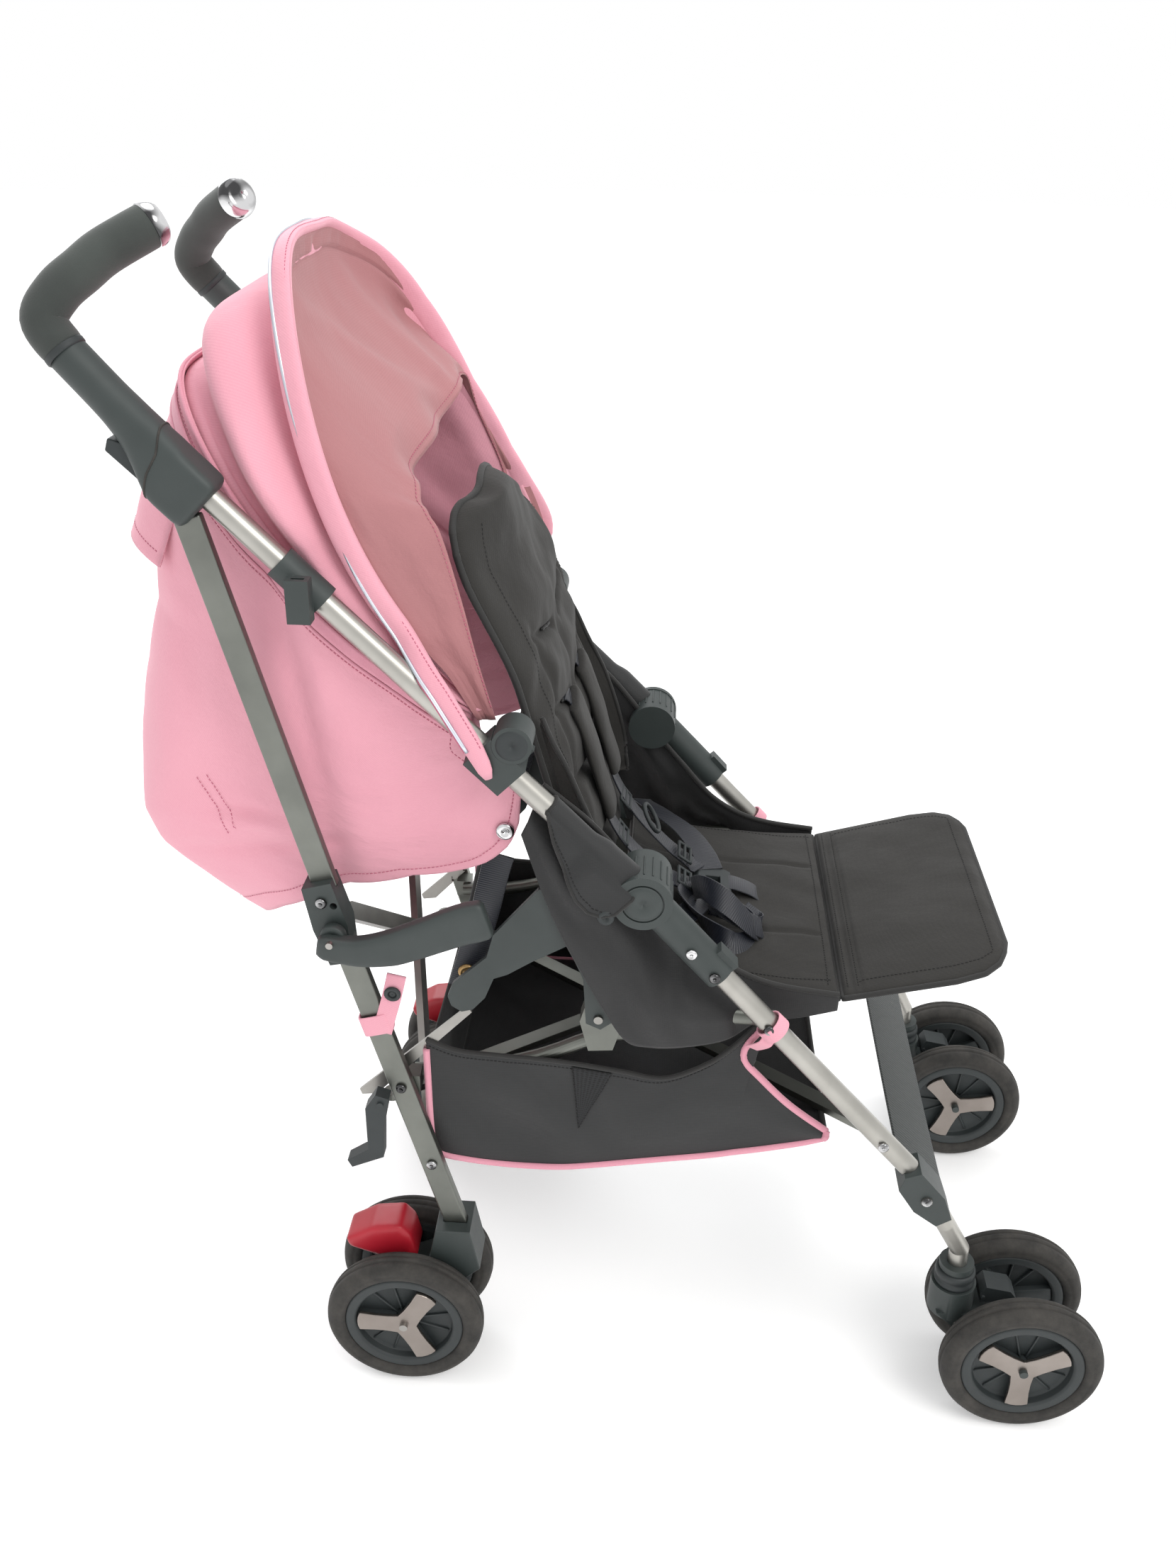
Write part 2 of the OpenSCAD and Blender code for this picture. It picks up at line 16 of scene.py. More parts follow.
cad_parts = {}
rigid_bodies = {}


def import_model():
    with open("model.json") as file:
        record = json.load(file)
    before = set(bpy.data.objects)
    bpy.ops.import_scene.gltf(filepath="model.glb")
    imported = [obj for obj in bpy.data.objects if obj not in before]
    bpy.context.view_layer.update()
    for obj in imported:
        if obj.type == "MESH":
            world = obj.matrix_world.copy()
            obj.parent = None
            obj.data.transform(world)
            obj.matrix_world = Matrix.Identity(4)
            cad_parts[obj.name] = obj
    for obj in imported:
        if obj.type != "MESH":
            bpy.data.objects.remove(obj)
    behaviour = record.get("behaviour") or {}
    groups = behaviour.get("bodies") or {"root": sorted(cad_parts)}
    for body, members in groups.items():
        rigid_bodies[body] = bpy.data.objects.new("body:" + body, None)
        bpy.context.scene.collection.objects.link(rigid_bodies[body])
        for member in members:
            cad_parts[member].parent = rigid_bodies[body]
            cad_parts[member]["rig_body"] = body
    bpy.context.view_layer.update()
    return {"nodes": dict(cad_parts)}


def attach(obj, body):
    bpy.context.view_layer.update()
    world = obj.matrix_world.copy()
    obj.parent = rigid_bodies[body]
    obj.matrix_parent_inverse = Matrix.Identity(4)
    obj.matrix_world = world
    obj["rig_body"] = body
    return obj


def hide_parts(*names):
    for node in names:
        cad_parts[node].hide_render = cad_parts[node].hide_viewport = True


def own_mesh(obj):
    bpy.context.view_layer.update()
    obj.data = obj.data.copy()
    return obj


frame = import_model()
scene = bpy.context.scene
MM = 0.001
SIDES = ((1, "left"), (-1, "right"))
STITCH_PITCH, STITCH_LONG, STITCH_WIDE = 3.6, 2.3, 0.8
STRAP_WIDE, STRAP_THICK = 25, 1.8  # harness and recline webbing

# ---------- curves and grids ----------


def arr(points):
    return np.asarray(points, float)


def unit(v):
    v = arr(v)
    return v / np.maximum(np.linalg.norm(v, axis=-1, keepdims=True), 1e-9)


def spline(points, n):
    """A smooth curve through points, as n + 1 points."""
    p = arr(points)
    u = np.linspace(0, len(p) - 1, n + 1)
    i = np.minimum(u.astype(int), len(p) - 2)
    t = (u - i)[:, None]
    a, b, c, d = (p[np.clip(i + k, 0, len(p) - 1)] for k in (-1, 0, 1, 2))
    return 0.5 * (2 * b + (c - a) * t + (2 * a - 5 * b + 4 * c - d) * t * t + (3 * b - a - 3 * c + d) * t**3)


def lengths(points):
    return np.r_[0, np.cumsum(np.linalg.norm(np.diff(arr(points), axis=0), axis=1))]


def even(points, count):
    """The same line as count + 1 points, the same distance apart."""
    p, d = arr(points), lengths(points)
    s = np.linspace(0, d[-1], count + 1)
    return np.stack([np.interp(s, d, p[:, k]) for k in range(p.shape[1])], 1)


def on_line(points, at):
    """Points of a line at whole or part places along its list."""
    p = arr(points)
    return np.stack([np.interp(at, np.arange(len(p)), p[:, k]) for k in range(p.shape[1])], 1)


def smooth(a, b, x):
    t = np.clip((x - a) / (b - a), 0, 1)
    return t * t * (3 - 2 * t)


def bell(x, centre, width):
    return np.exp(-(((x - centre) / width) ** 2))


def table(x, pairs):
    """The value at x on straight lines between (place, value) pairs."""
    p = arr(pairs)
    return np.interp(x, p[:, 0], p[:, 1])


def ripple(x, y, seed):
    """Soft irregular waves about -1 to 1, the same each run."""
    total = np.zeros(np.broadcast(x, y).shape)
    for k in range(3):
        a = seed * 2.399 + k * 1.7
        f = 1.55**k
        total += np.sin(f * (x * math.cos(a) + y * math.sin(a)) + seed * 1.3 + 2.1 * k) / f
        total += 0.6 * np.sin(f * 1.37 * (x * math.sin(a) - y * math.cos(a)) + seed * 0.7 + k) / f
    return total / 2.2


def oval(a, b, sides=16):
    t = np.arange(sides) * 2 * math.pi / sides
    return np.stack([a * np.cos(t), b * np.sin(t)], 1)


def squarish(a, b, sides, power_a, power_b=1):
    """An oval with fuller corners: the smaller a power, the squarer it is."""
    c, s = oval(1, 1, sides).T
    return np.stack([a * np.sign(c) * np.abs(c) ** power_a, b * np.sign(s) * np.abs(s) ** power_b], 1)


def circle_line(centre, radius, first, second, count):
    """Points round a circle that starts along first and turns towards second."""
    return arr(centre) + oval(radius, radius, count) @ arr([first, second])


def strap_section(width, thick):
    """A flat section with rounded edges."""
    w, t = width / 2, thick / 2
    r = t * 0.9
    return arr([[-w, 0], [-w + r * 0.3, t * 0.8], [-w + r, t], [0, t], [w - r, t], [w - r * 0.3, t * 0.8],
                [w, 0], [w - r * 0.3, -t * 0.8], [w - r, -t], [0, -t], [-w + r, -t],
                [-w + r * 0.3, -t * 0.8]])


# ---------- making objects ----------
materials = {}


def add_object(name, data):
    ob = bpy.data.objects.new(name, data)
    scene.collection.objects.link(ob)
    return ob


def dress(ob, finish, body):
    """Gives a piece its material and lets it ride its body."""
    material, slot = materials[finish]
    ob.data.materials.append(material)
    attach(ob, body)
    return ob


def round_edges(ob, width, segments, angle=30):
    """A bevel in millimetres on the edges that are sharper than angle."""
    bevel = ob.modifiers.new("Bevel", "BEVEL")
    bevel.width, bevel.segments, bevel.limit_method = width * MM, segments, "ANGLE"
    bevel.angle_limit = math.radians(angle)


def build(name, verts, faces, finish, body, uvs=None, flat=False):
    """A mesh object from millimetres, in its material, riding its body."""
    mesh = bpy.data.meshes.new(name)
    mesh.from_pydata((arr(verts) * MM).tolist(), [], [tuple(int(i) for i in f) for f in faces])
    if uvs is not None:
        layer = mesh.uv_layers.new(name="UVMap")
        at = np.empty(len(mesh.loops), np.int32)
        mesh.loops.foreach_get("vertex_index", at)
        layer.data.foreach_set("uv", (arr(uvs)[at]).astype(np.float32).ravel())
    bm = bmesh.new()
    bm.from_mesh(mesh)
    bmesh.ops.recalc_face_normals(bm, faces=bm.faces)
    bm.to_mesh(mesh)
    bm.free()
    mesh.polygons.foreach_set("use_smooth", [not flat] * len(mesh.polygons))
    return dress(add_object(name, mesh), finish, body)


def join_parts(parts):
    """One vertex and face list from several."""
    verts, faces, base = [], [], 0
    for v, f in parts:
        verts.append(arr(v))
        faces += [tuple(i + base for i in face) for face in f]
        base += len(v)
    return np.concatenate(verts), faces


def tube_faces(rows, around, closed=False):
    """The wall of a tube of rows rings with around points each, and its ends unless it closes on itself."""
    last = rows if closed else rows - 1
    faces = [(i * around + j, (i + 1) % rows * around + j, (i + 1) % rows * around + (j + 1) % around,
              i * around + (j + 1) % around) for i in range(last) for j in range(around)]
    if not closed:
        faces += [tuple(range(around)), tuple((rows - 1) * around + j for j in reversed(range(around)))]
    return faces


def swept(path, section, side=(1, 0, 0), scale=None, closed=False):
    """Vertices and faces of a section carried along a path; side is the direction of its first axis."""
    p, sec = arr(path), arr(section)
    t = np.roll(p, -1, 0) - np.roll(p, 1, 0) if closed else np.gradient(p, axis=0)
    t = unit(t)
    s = np.broadcast_to(arr(side), p.shape)
    s = unit(s - (t * s).sum(1, keepdims=True) * t)
    u = np.cross(t, s)
    k = np.ones((len(p), 2)) if scale is None else arr(scale)
    v = (p[:, None] + s[:, None] * (sec[None, :, :1] * k[:, None, :1])
         + u[:, None] * (sec[None, :, 1:] * k[:, None, 1:]))
    return v.reshape(-1, 3), tube_faces(*v.shape[:2], closed)


def sweep(name, path, section, finish, body, side=(1, 0, 0), scale=None, closed=False):
    v, f = swept(path, section, side, scale, closed)
    m = len(section)
    run, around = lengths(path), lengths(np.r_[arr(section), arr(section)[:1]])
    uv = np.stack([np.repeat(run, m), np.tile(around[:m], len(path))], 1) * MM
    return build(name, v, f, finish, body, uv)


def lathed(profile, centre, axis=(1, 0, 0), segments=48):
    """Vertices and faces of a profile of (radius, along) turned about an axis; it closes on itself."""
    pr, ax = arr(profile), unit(axis)
    ref = unit(np.cross(ax, (0.13, 0.2, 1.0) if abs(ax[2]) < 0.9 else (0, 1, 0)))
    other = np.cross(ax, ref)
    a = np.arange(segments) * 2 * math.pi / segments
    ring = np.cos(a)[:, None] * ref + np.sin(a)[:, None] * other
    v = arr(centre) + pr[None, :, :1] * ring[:, None] + pr[None, :, 1:] * ax
    return v.reshape(-1, 3), tube_faces(segments, len(pr), True)


def turned(name, profile, centre, finish, body, axis=(1, 0, 0), segments=48):
    """A turned solid. Ends on the axis are given a 0.05 mm hole, too small to see."""
    pr = [(max(r, 0.05), h) for r, h in profile]
    return build(name, *lathed(pr, centre, axis, segments), finish, body)


def cloth_normals(p):
    return unit(np.cross(np.gradient(p, axis=0), np.gradient(p, axis=1)))


def outward(n, p, middle):
    """Directions n at the points p, turned to point away from a middle point."""
    return n * np.where((n * (p - arr(middle))).sum(-1, keepdims=True) < 0, -1, 1)


def slab(name, mid, thick, finish, body, normals=None):
    """A closed sheet or pad round a grid of middle points; thick is its thickness, or a grid of them."""
    p = arr(mid)
    n = cloth_normals(p) if normals is None else normals
    t = np.broadcast_to(arr(thick), p.shape[:2])[..., None]
    a, b = p.shape[:2]
    top, low = (p + n * t / 2).reshape(-1, 3), (p - n * t / 2).reshape(-1, 3)
    at = np.arange(a * b).reshape(a, b)
    quads = np.stack([at[:-1, :-1], at[1:, :-1], at[1:, 1:], at[:-1, 1:]], -1).reshape(-1, 4)
    faces = quads.tolist() + (quads[:, ::-1] + a * b).tolist()
    rim = np.r_[at[:, 0], at[-1, 1:], at[-2::-1, -1], at[0, -2:0:-1]]
    faces += [(int(rim[i]), int(rim[i - 1]), int(rim[i - 1]) + a * b, int(rim[i]) + a * b)
              for i in range(len(rim))]
    u = np.r_[0, np.cumsum(np.linalg.norm(np.diff(p, axis=0), axis=2).mean(1))]
    v = np.r_[0, np.cumsum(np.linalg.norm(np.diff(p, axis=1), axis=2).mean(0))]
    uv = np.stack(np.meshgrid(u, v, indexing="ij"), -1).reshape(-1, 2) * MM
    return build(name, np.r_[top, low], faces, finish, body, np.r_[uv, uv])


def cloth(name, mid, thick, finish, body):
    """A sheet of cloth."""
    ob = slab(name, mid, thick, finish, body)
    return ob


def on_grid(p, i, j):
    """A point of a grid at whole or part rows and columns."""
    i, j = np.broadcast_arrays(arr(i), arr(j))
    i0 = np.clip(i.astype(int), 0, p.shape[0] - 2)
    j0 = np.clip(j.astype(int), 0, p.shape[1] - 2)
    a, b = (i - i0)[..., None], (j - j0)[..., None]
    return (p[i0, j0] * (1 - a) * (1 - b) + p[i0 + 1, j0] * a * (1 - b) + p[i0, j0 + 1] * (1 - a) * b
            + p[i0 + 1, j0 + 1] * a * b)


def stitches(name, line, normal, finish, body):
    """A run of thread dashes lying on cloth."""
    count = max(2, int(lengths(line)[-1] / STITCH_PITCH))
    p = even(line, count)
    n = unit(even(np.broadcast_to(arr(normal), arr(line).shape), count))
    t = unit(np.gradient(p, axis=0))
    w = np.cross(t, n)
    ends = ((-0.5, -0.5, 0), (-0.5, 0.5, 0), (0.5, 0.5, 0), (0.5, -0.5, 0), (-0.3, 0, 0.45), (0.3, 0, 0.45))
    v = np.stack([p + t * a * STITCH_LONG + (w * b + n * c) * STITCH_WIDE for a, b, c in ends], 1)
    one = [(0, 1, 4), (1, 2, 5, 4), (2, 3, 5), (3, 0, 4, 5), (3, 2, 1, 0)]
    faces = [tuple(6 * k + i for i in f) for k in range(count + 1) for f in one]
    return build(name, v.reshape(-1, 3), faces, finish, body)


def piping(name, line, r, finish, body, closed=False):
    slant = (0.31, 0.12, 0.95)  # a direction that no piping runs in
    return sweep(name, line, oval(r, r, 8), finish, body, slant, closed=closed)


def crumple(*obs):
    """Gives each of these soft pieces a mesh of its own."""
    for ob in obs:
        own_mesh(ob)


def soften(node, finish, width):
    """A CAD part's shape with its edges rounded, standing for the CAD part."""
    src = frame["nodes"][node]
    mesh = bpy.data.meshes.new(node + "_shell")
    bm = bmesh.new()
    bm.from_mesh(src.data)
    bmesh.ops.remove_doubles(bm, verts=bm.verts, dist=2e-5)
    bmesh.ops.dissolve_limit(bm, angle_limit=math.radians(0.8), verts=bm.verts, edges=bm.edges)
    bm.to_mesh(mesh)
    bm.free()
    mesh.polygons.foreach_set("use_smooth", [True] * len(mesh.polygons))
    ob = add_object(node + "_shell", mesh)
    round_edges(ob, width, 3, angle=32)
    ob.modifiers.new("WeightedNormal", "WEIGHTED_NORMAL").keep_sharp = True
    dress(ob, finish, src["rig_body"])
    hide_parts(node)


def paint(node, finish):
    """A CAD part kept as it is, in a better material."""
    ob = frame["nodes"][node]
    ob.data.materials.clear()
    ob.data.materials.append(materials[finish][0])


# ---------- materials ----------


class Nodes:
    """Adds shader nodes and links them."""

    def __init__(self, name):
        self.material = bpy.data.materials.new(name)
        self.material.use_nodes = True
        self.tree = self.material.node_tree
        self.shader = self.tree.nodes["Principled BSDF"]

    def add(self, kind, values=None, **links):
        node = self.tree.nodes.new(kind)
        for key, value in (values or {}).items():
            if hasattr(node, key):
                setattr(node, key, value)
            else:
                node.inputs[key].default_value = value
        for key, source in links.items():
            self.tree.links.new(source, node.inputs[key.replace("_", " ")])
        return node

    def feed(self, socket, value):
        """Links another node's output to a socket, or sets its number or colour."""
        if isinstance(value, bpy.types.NodeSocket):
            self.tree.links.new(value, socket)
        else:
            socket.default_value = value

    def coords(self, kind="Object"):
        return self.add("ShaderNodeTexCoord").outputs[kind]

    def mix(self, share, a, b):
        node = self.tree.nodes.new("ShaderNodeMix")
        node.data_type = "RGBA"
        for place, value in ((0, share), (6, a), (7, b)):
            self.feed(node.inputs[place], value)
        return node.outputs[2]

    def tint(self, value, low, high, dark, light):
        """A colour from dark, where value is low, to light, where it is high."""
        return self.mix(self.band(value, low, high), rgb(dark), rgb(light))

    def math(self, op, a, b=0.0):
        node = self.tree.nodes.new("ShaderNodeMath")
        node.operation = op
        for socket, value in zip(node.inputs, (a, b)):
            self.feed(socket, value)
        return node.outputs[0]

    def total(self, *terms):
        """The sum of (value, share) pairs."""
        scaled = [self.math("MULTIPLY", value, share) for value, share in terms]
        return functools.reduce(lambda a, b: self.math("ADD", a, b), scaled)

    def noise(self, coords, scale, detail=3.0, rough=0.55):
        return self.add("ShaderNodeTexNoise", {"Scale": scale, "Detail": detail, "Roughness": rough},
                        Vector=coords).outputs[0]

    def wave(self, coords, period, direction="X", distort=0.0):
        """Bands that repeat every period metres."""
        values = {"wave_type": "BANDS", "bands_direction": direction, "Scale": 0.314159 / period,
                  "Distortion": distort, "Detail": 1.0}
        return self.add("ShaderNodeTexWave", values, Vector=coords).outputs[1]

    def bump(self, height, strength, distance, under=None):
        node = self.add("ShaderNodeBump", {"Strength": strength, "Distance": distance}, Height=height)
        if under is not None:
            self.tree.links.new(under, node.inputs["Normal"])
        return node.outputs[0]

    def worn(self, at, rough, share, scale, detail=5.0, coarse=0.7):
        """A roughness that a noise raises by up to share."""
        return self.math("ADD", rough, self.math("MULTIPLY", self.noise(at, scale, detail, coarse), share))

    def band(self, value, low, high):
        """0 below low, 1 above high."""
        node = self.tree.nodes.new("ShaderNodeMapRange")
        self.tree.links.new(value, node.inputs[0])
        node.inputs[1].default_value, node.inputs[2].default_value = low, high
        return node.outputs[0]


def rgb(code):
    """A display colour as linear light."""
    c = [int(code[i:i + 2], 16) / 255 for i in (1, 3, 5)]
    return tuple(x / 12.92 if x <= 0.04045 else ((x + 0.055) / 1.055) ** 2.4 for x in c) + (1.0,)


def finish_shader(n, colour, normal, rough, metallic=0.0, **sockets):
    shader = n.shader
    n.tree.links.new(colour, shader.inputs["Base Color"])
    if normal is not None:
        n.tree.links.new(normal, shader.inputs["Normal"])
    n.feed(shader.inputs["Roughness"], rough)
    shader.inputs["Metallic"].default_value = metallic
    for key, value in sockets.items():
        shader.inputs[key.replace("_", " ")].default_value = value
    return n.material


def woven(name, light, dark, period, strength, rough, sheen, by_uv=False, twill=False, blotch=0.35,
          creased=0.22):
    """Cloth: fine yarns, uneven dye and soft creases."""
    n = Nodes(name)
    at = n.coords("UV" if by_uv else "Object")
    yarn = at
    if twill:
        yarn = n.add("ShaderNodeMapping", {"Rotation": (0, 0, math.radians(45))}, Vector=at).outputs[0]
    directions = "XY" if by_uv else "XYZ"
    waves = [n.wave(yarn, period * (1 if d == "X" or not twill else 1.9), d, 0.6) for d in directions]
    weave = waves[0]
    for w in waves[1:]:
        weave = n.math("ADD", weave, w)
    weave = n.math("MULTIPLY", weave, 1 / len(waves))
    cloud = n.noise(at, 9.0, 4.0)
    fleck = n.noise(at, 700.0, 2.0)
    colour = n.tint(n.total((cloud, blotch), (fleck, 0.25), (weave, 0.3)), 0.15, 0.85, dark, light)
    crease = n.noise(at, 28.0, 5.0, 0.6)
    soft = n.noise(at, 8.0, 2.0, 0.45)
    normal = n.bump(weave, strength, 0.0004, n.bump(n.total((soft, 2.4), (crease, 0.3)), creased, 0.012))
    return finish_shader(n, colour, normal, rough, Sheen_Weight=sheen, Sheen_Roughness=0.5)


def plastic(name, light, dark, rough, grain=1800.0, strength=0.12, **sockets):
    n = Nodes(name)
    at = n.coords()
    colour = n.tint(n.noise(at, 14.0, 4.0), 0.3, 0.72, dark, light)
    fine = n.bump(n.noise(at, grain, 2.0), strength, 0.0004)
    return finish_shader(n, colour, fine, n.worn(at, rough - 0.08, 0.2, 45.0), **sockets)


def metal(name, light, dark, rough, brushed=0.1):
    n = Nodes(name)
    at = n.coords()
    stretched = n.add("ShaderNodeMapping", {"Scale": (60.0, 12.0, 12.0)}, Vector=at).outputs[0]
    streak = n.bump(n.noise(stretched, 40.0, 4.0), brushed, 0.0002)
    colour = n.tint(n.noise(at, 16.0, 4.0), 0.3, 0.75, dark, light)
    return finish_shader(n, colour, streak, n.worn(at, rough - 0.06, 0.16, 60.0), 1.0)


def mirror_bright(name):
    """Chrome with painted reflections: darker and lighter patches in its colour stand in for the room it
    mirrors.
    """
    n = Nodes(name)
    at = n.coords()
    # painted reflection: noise mixes a dark and a light chrome colour, as a room's reflection would
    colour = n.tint(n.noise(at, 42.0, 1.0, 0.4), 0.42, 0.56, "#4a4a4b", "#d9d9da")
    return finish_shader(n, colour, None, n.worn(at, 0.1, 0.12, 80.0, 3.0, 0.55), 1.0)


def ribbed(name, light, dark, period, rough, strength, sheen=0.0):
    """Webbing: ribs across its length, by the piece's own length and width."""
    n = Nodes(name)
    at = n.coords("UV")
    both = n.total((n.wave(at, period, "X"), 0.7), (n.wave(at, 0.0011, "Y"), 0.3))
    colour = n.mix(n.total((both, 0.6), (n.noise(at, 30.0), 0.4)), rgb(dark), rgb(light))
    return finish_shader(n, colour, n.bump(both, strength, 0.0006), rough, Sheen_Weight=sheen)


def tyre_material():
    n = Nodes("tyre_rubber")
    at = n.coords()
    colour = n.tint(n.noise(at, 38.0, 6.0, 0.7), 0.35, 0.75, "#232220", "#403d39")  # dust
    return finish_shader(n, colour, n.bump(n.noise(at, 900.0, 3.0), 0.25, 0.0006), 0.82)


def mesh_material():
    """Open net: small round holes in dark cloth, shown as dark dots."""
    n = Nodes("net")
    at = n.coords("UV")
    holes = n.add("ShaderNodeTexVoronoi", {"Scale": 420.0, "Randomness": 0.15}, Vector=at).outputs[0]
    colour = n.tint(holes, 0.25, 0.45, "#070708", "#1d1e20")
    return finish_shader(n, colour, n.bump(holes, 0.5, 0.0005), 0.8)


for key, made, slot in (
    ("pink", woven("pink_twill", "#e6abb7", "#d58fa0", 0.0009, 0.16, 0.84, 0.15, True, True, 0.35, 0.5),
     "pink_fabric"),
    # painted shade: the lining is the canopy pink darkened, as it looks in the shade under the hoop
    ("lining", woven("pink_lining_painted_shade", "#ad7779", "#976568", 0.001, 0.15, 0.85, 0.15, True, False, 0.45, 0.5),
     "pink_fabric"),
    ("pink_trim", woven("pink_binding", "#e09fae", "#cd8799", 0.0012, 0.35, 0.8, 0.2), "pink_fabric"),
    ("pink_thread", plastic("pink_thread", "#c66d84", "#b45f77", 0.7, 900.0), "pink_fabric"),
    ("charcoal", woven("charcoal_weave", "#292724", "#1c1b19", 0.0013, 0.35, 0.85, 0.05, False, False, 0.35,
                       0.5), "charcoal_fabric"),
    ("charcoal_trim", woven("charcoal_binding", "#222120", "#181817", 0.0011, 0.4, 0.75, 0.1),
     "charcoal_fabric"),
    ("charcoal_thread", plastic("charcoal_thread", "#151514", "#0f0f0f", 0.6, 900.0), "charcoal_fabric"),
    ("nylon", woven("black_nylon", "#1d1d1e", "#141415", 0.0018, 0.25, 0.66, 0.1), "black_nylon"),
    ("dark_nylon", woven("dark_nylon", "#1d1e1f", "#131415", 0.0018, 0.25, 0.66, 0.12), "black_nylon"),
    ("net", mesh_material(), "black_nylon"),
    ("plastic", plastic("grey_plastic", "#343b3a", "#2a3130", 0.5), "grey_plastic"),
    ("plastic_dark", plastic("dark_plastic", "#2a3031", "#212627", 0.55), "grey_plastic"),
    ("red", plastic("red_plastic", "#a81327", "#8f0e1c", 0.4), "red_plastic"),
    ("foam", plastic("foam_grip", "#3c413e", "#2e3230", 0.9, 1300.0, 0.55, Sheen_Weight=0.2), "foam_grip"),
    ("rubber", tyre_material(), "tyre_rubber"),
    ("silver", metal("satin_aluminium", "#b9b7b1", "#a2a09a", 0.34), "satin_aluminium"),
    ("grey_tube", metal("grey_tube", "#7f817b", "#6f716c", 0.42), "grey_tube"),
    ("chrome", mirror_bright("chrome"), "chrome"),
    ("steel", metal("steel", "#a9a7a2", "#8d8b87", 0.36), "steel"),
    ("brass", metal("brass", "#b99a6c", "#a0845a", 0.32), "steel"),
    ("trim", metal("wheel_trim", "#9a928c", "#837b75", 0.32), "satin_aluminium"),
    ("reflective", metal("reflective_piping", "#dfe3ea", "#c9ced8", 0.3, 0.05), "satin_aluminium"),
    ("webbing", ribbed("navy_webbing", "#171c29", "#080a10", 0.0021, 0.34, 0.4, 0.1), "navy_webbing"),
    ("foot_strap", ribbed("ribbed_strap", "#3a3f3e", "#232727", 0.0042, 0.55, 0.9), "ribbed_strap"),
):
    materials[key] = (made, slot)

# ---------- camera, floor and light ----------


CAMERA_AT = (-1.1633, -0.0119, 1.1577)  # metres
CAMERA_TURN = (-0.0544, 0.4803, 0.0178)  # yaw from +X, pitch downwards and roll, in radians


def camera():
    yaw, pitch, roll = CAMERA_TURN
    look = Vector((math.cos(pitch) * math.cos(yaw), -math.cos(pitch) * math.sin(yaw), -math.sin(pitch)))
    right = look.cross(Vector((0, 0, 1))).normalized()
    up = right.cross(look)
    r = right * math.cos(roll) + up * math.sin(roll)
    u = up * math.cos(roll) - right * math.sin(roll)
    data = bpy.data.cameras.new("Camera")
    data.sensor_width = 36.0
    data.lens = 31.88
    cam = add_object("Camera", data)
    cam.matrix_world = Matrix.Translation(CAMERA_AT) @ Matrix((r, u, -look)).transposed().to_4x4()
    scene.camera = cam


def area_light(name, place, aim, size, watts, colour=(1, 1, 1)):
    data = bpy.data.lights.new(name, "AREA")
    data.shape, data.size, data.energy, data.color = "DISK", size, watts, colour
    lamp = add_object(name, data)
    lamp.location = place
    lamp.rotation_euler = (Vector(aim) - Vector(place)).to_track_quat("-Z", "Y").to_euler()


def studio():
    n = Nodes("pale_floor")
    at = n.coords()
    colour = n.mix(n.noise(at, 2.0, 2.0), rgb("#f4f4f4"), rgb("#f9f9f9"))
    finish_shader(n, colour, None, 0.85, Emission_Color=(1, 1, 1, 1), Emission_Strength=0.22)
    mesh = bpy.data.meshes.new("floor")
    ring = [(x, y, 0) for x, y in oval(14, 14, 64).tolist()]
    mesh.from_pydata(ring, [], [tuple(range(len(ring)))])
    mesh.materials.append(n.material)
    add_object("floor", mesh)
    world = bpy.data.worlds.new("studio")
    world.use_nodes = True
    sky = world.node_tree.nodes["Background"]
    sky.inputs[0].default_value, sky.inputs[1].default_value = (1, 1, 1, 1), 1.0
    scene.world = world
    area_light("key", (-1.7, -1.6, 2.7), (0, 0, 0.5), 1.6, 36, (1.0, 0.985, 0.96))
    area_light("top", (0.3, 0.5, 3.0), (0, 0.1, 0.5), 2.0, 22)
    area_light("rim", (1.9, 1.2, 1.8), (0, 0, 0.6), 1.4, 20, (0.96, 0.98, 1.0))
    scene.view_settings.view_transform = "Standard"


camera()
studio()

# ---------- wheels ----------
WHEEL_R, FRONT_Y, REAR_Y = 76.0, -379.0, 207.0
INNER_X = 144
# Turned profiles, as (radius, along the axle)
TYRE_HALF = [(57.2, 11), (60, 13.3), (63.5, 14), (65, 13.4), (66.5, 14), (69.5, 13.2), (72.5, 11), (74.6, 8),
             (75.5, 4.6), (74.5, 4.0), (74.5, 2.8), (75.8, 2.2), (76, 0)]
RIM = [(46.5, 9.5), (48.5, 11.4), (55.5, 11.8), (57, 10.6), (57, -10.6), (55.5, -11.8), (48.5, -11.4),
       (46.5, -9.5), (45.5, -3.5), (42, -2), (12, -2), (12, 2), (42, 2), (45.5, 3.5)]
BARREL = [(4.2, -13), (9, -13), (10.5, -11.5), (10.5, 7.5), (9, 8.5), (4.2, 8.5)]
# The web behind the trim, and a pair of ribs between its arms: angle, reach, half width, half height
SPOKES = ((0, 45.5, 7.6, 8.2), (45, 44, 1.0, 4.0), (75, 44, 1.0, 4.0))
# One arm of the trim and the hollow after it, as (angle, radius)
TRIM_ARM = ((-14.2, 45), (-7, 45.8), (0, 46), (7, 45.8), (14.2, 45), (19, 30), (31, 19), (60, 12.5), (89, 19),
            (101, 30))
TRIM_BACK, TRIM_FACE = 8.6, 12.4


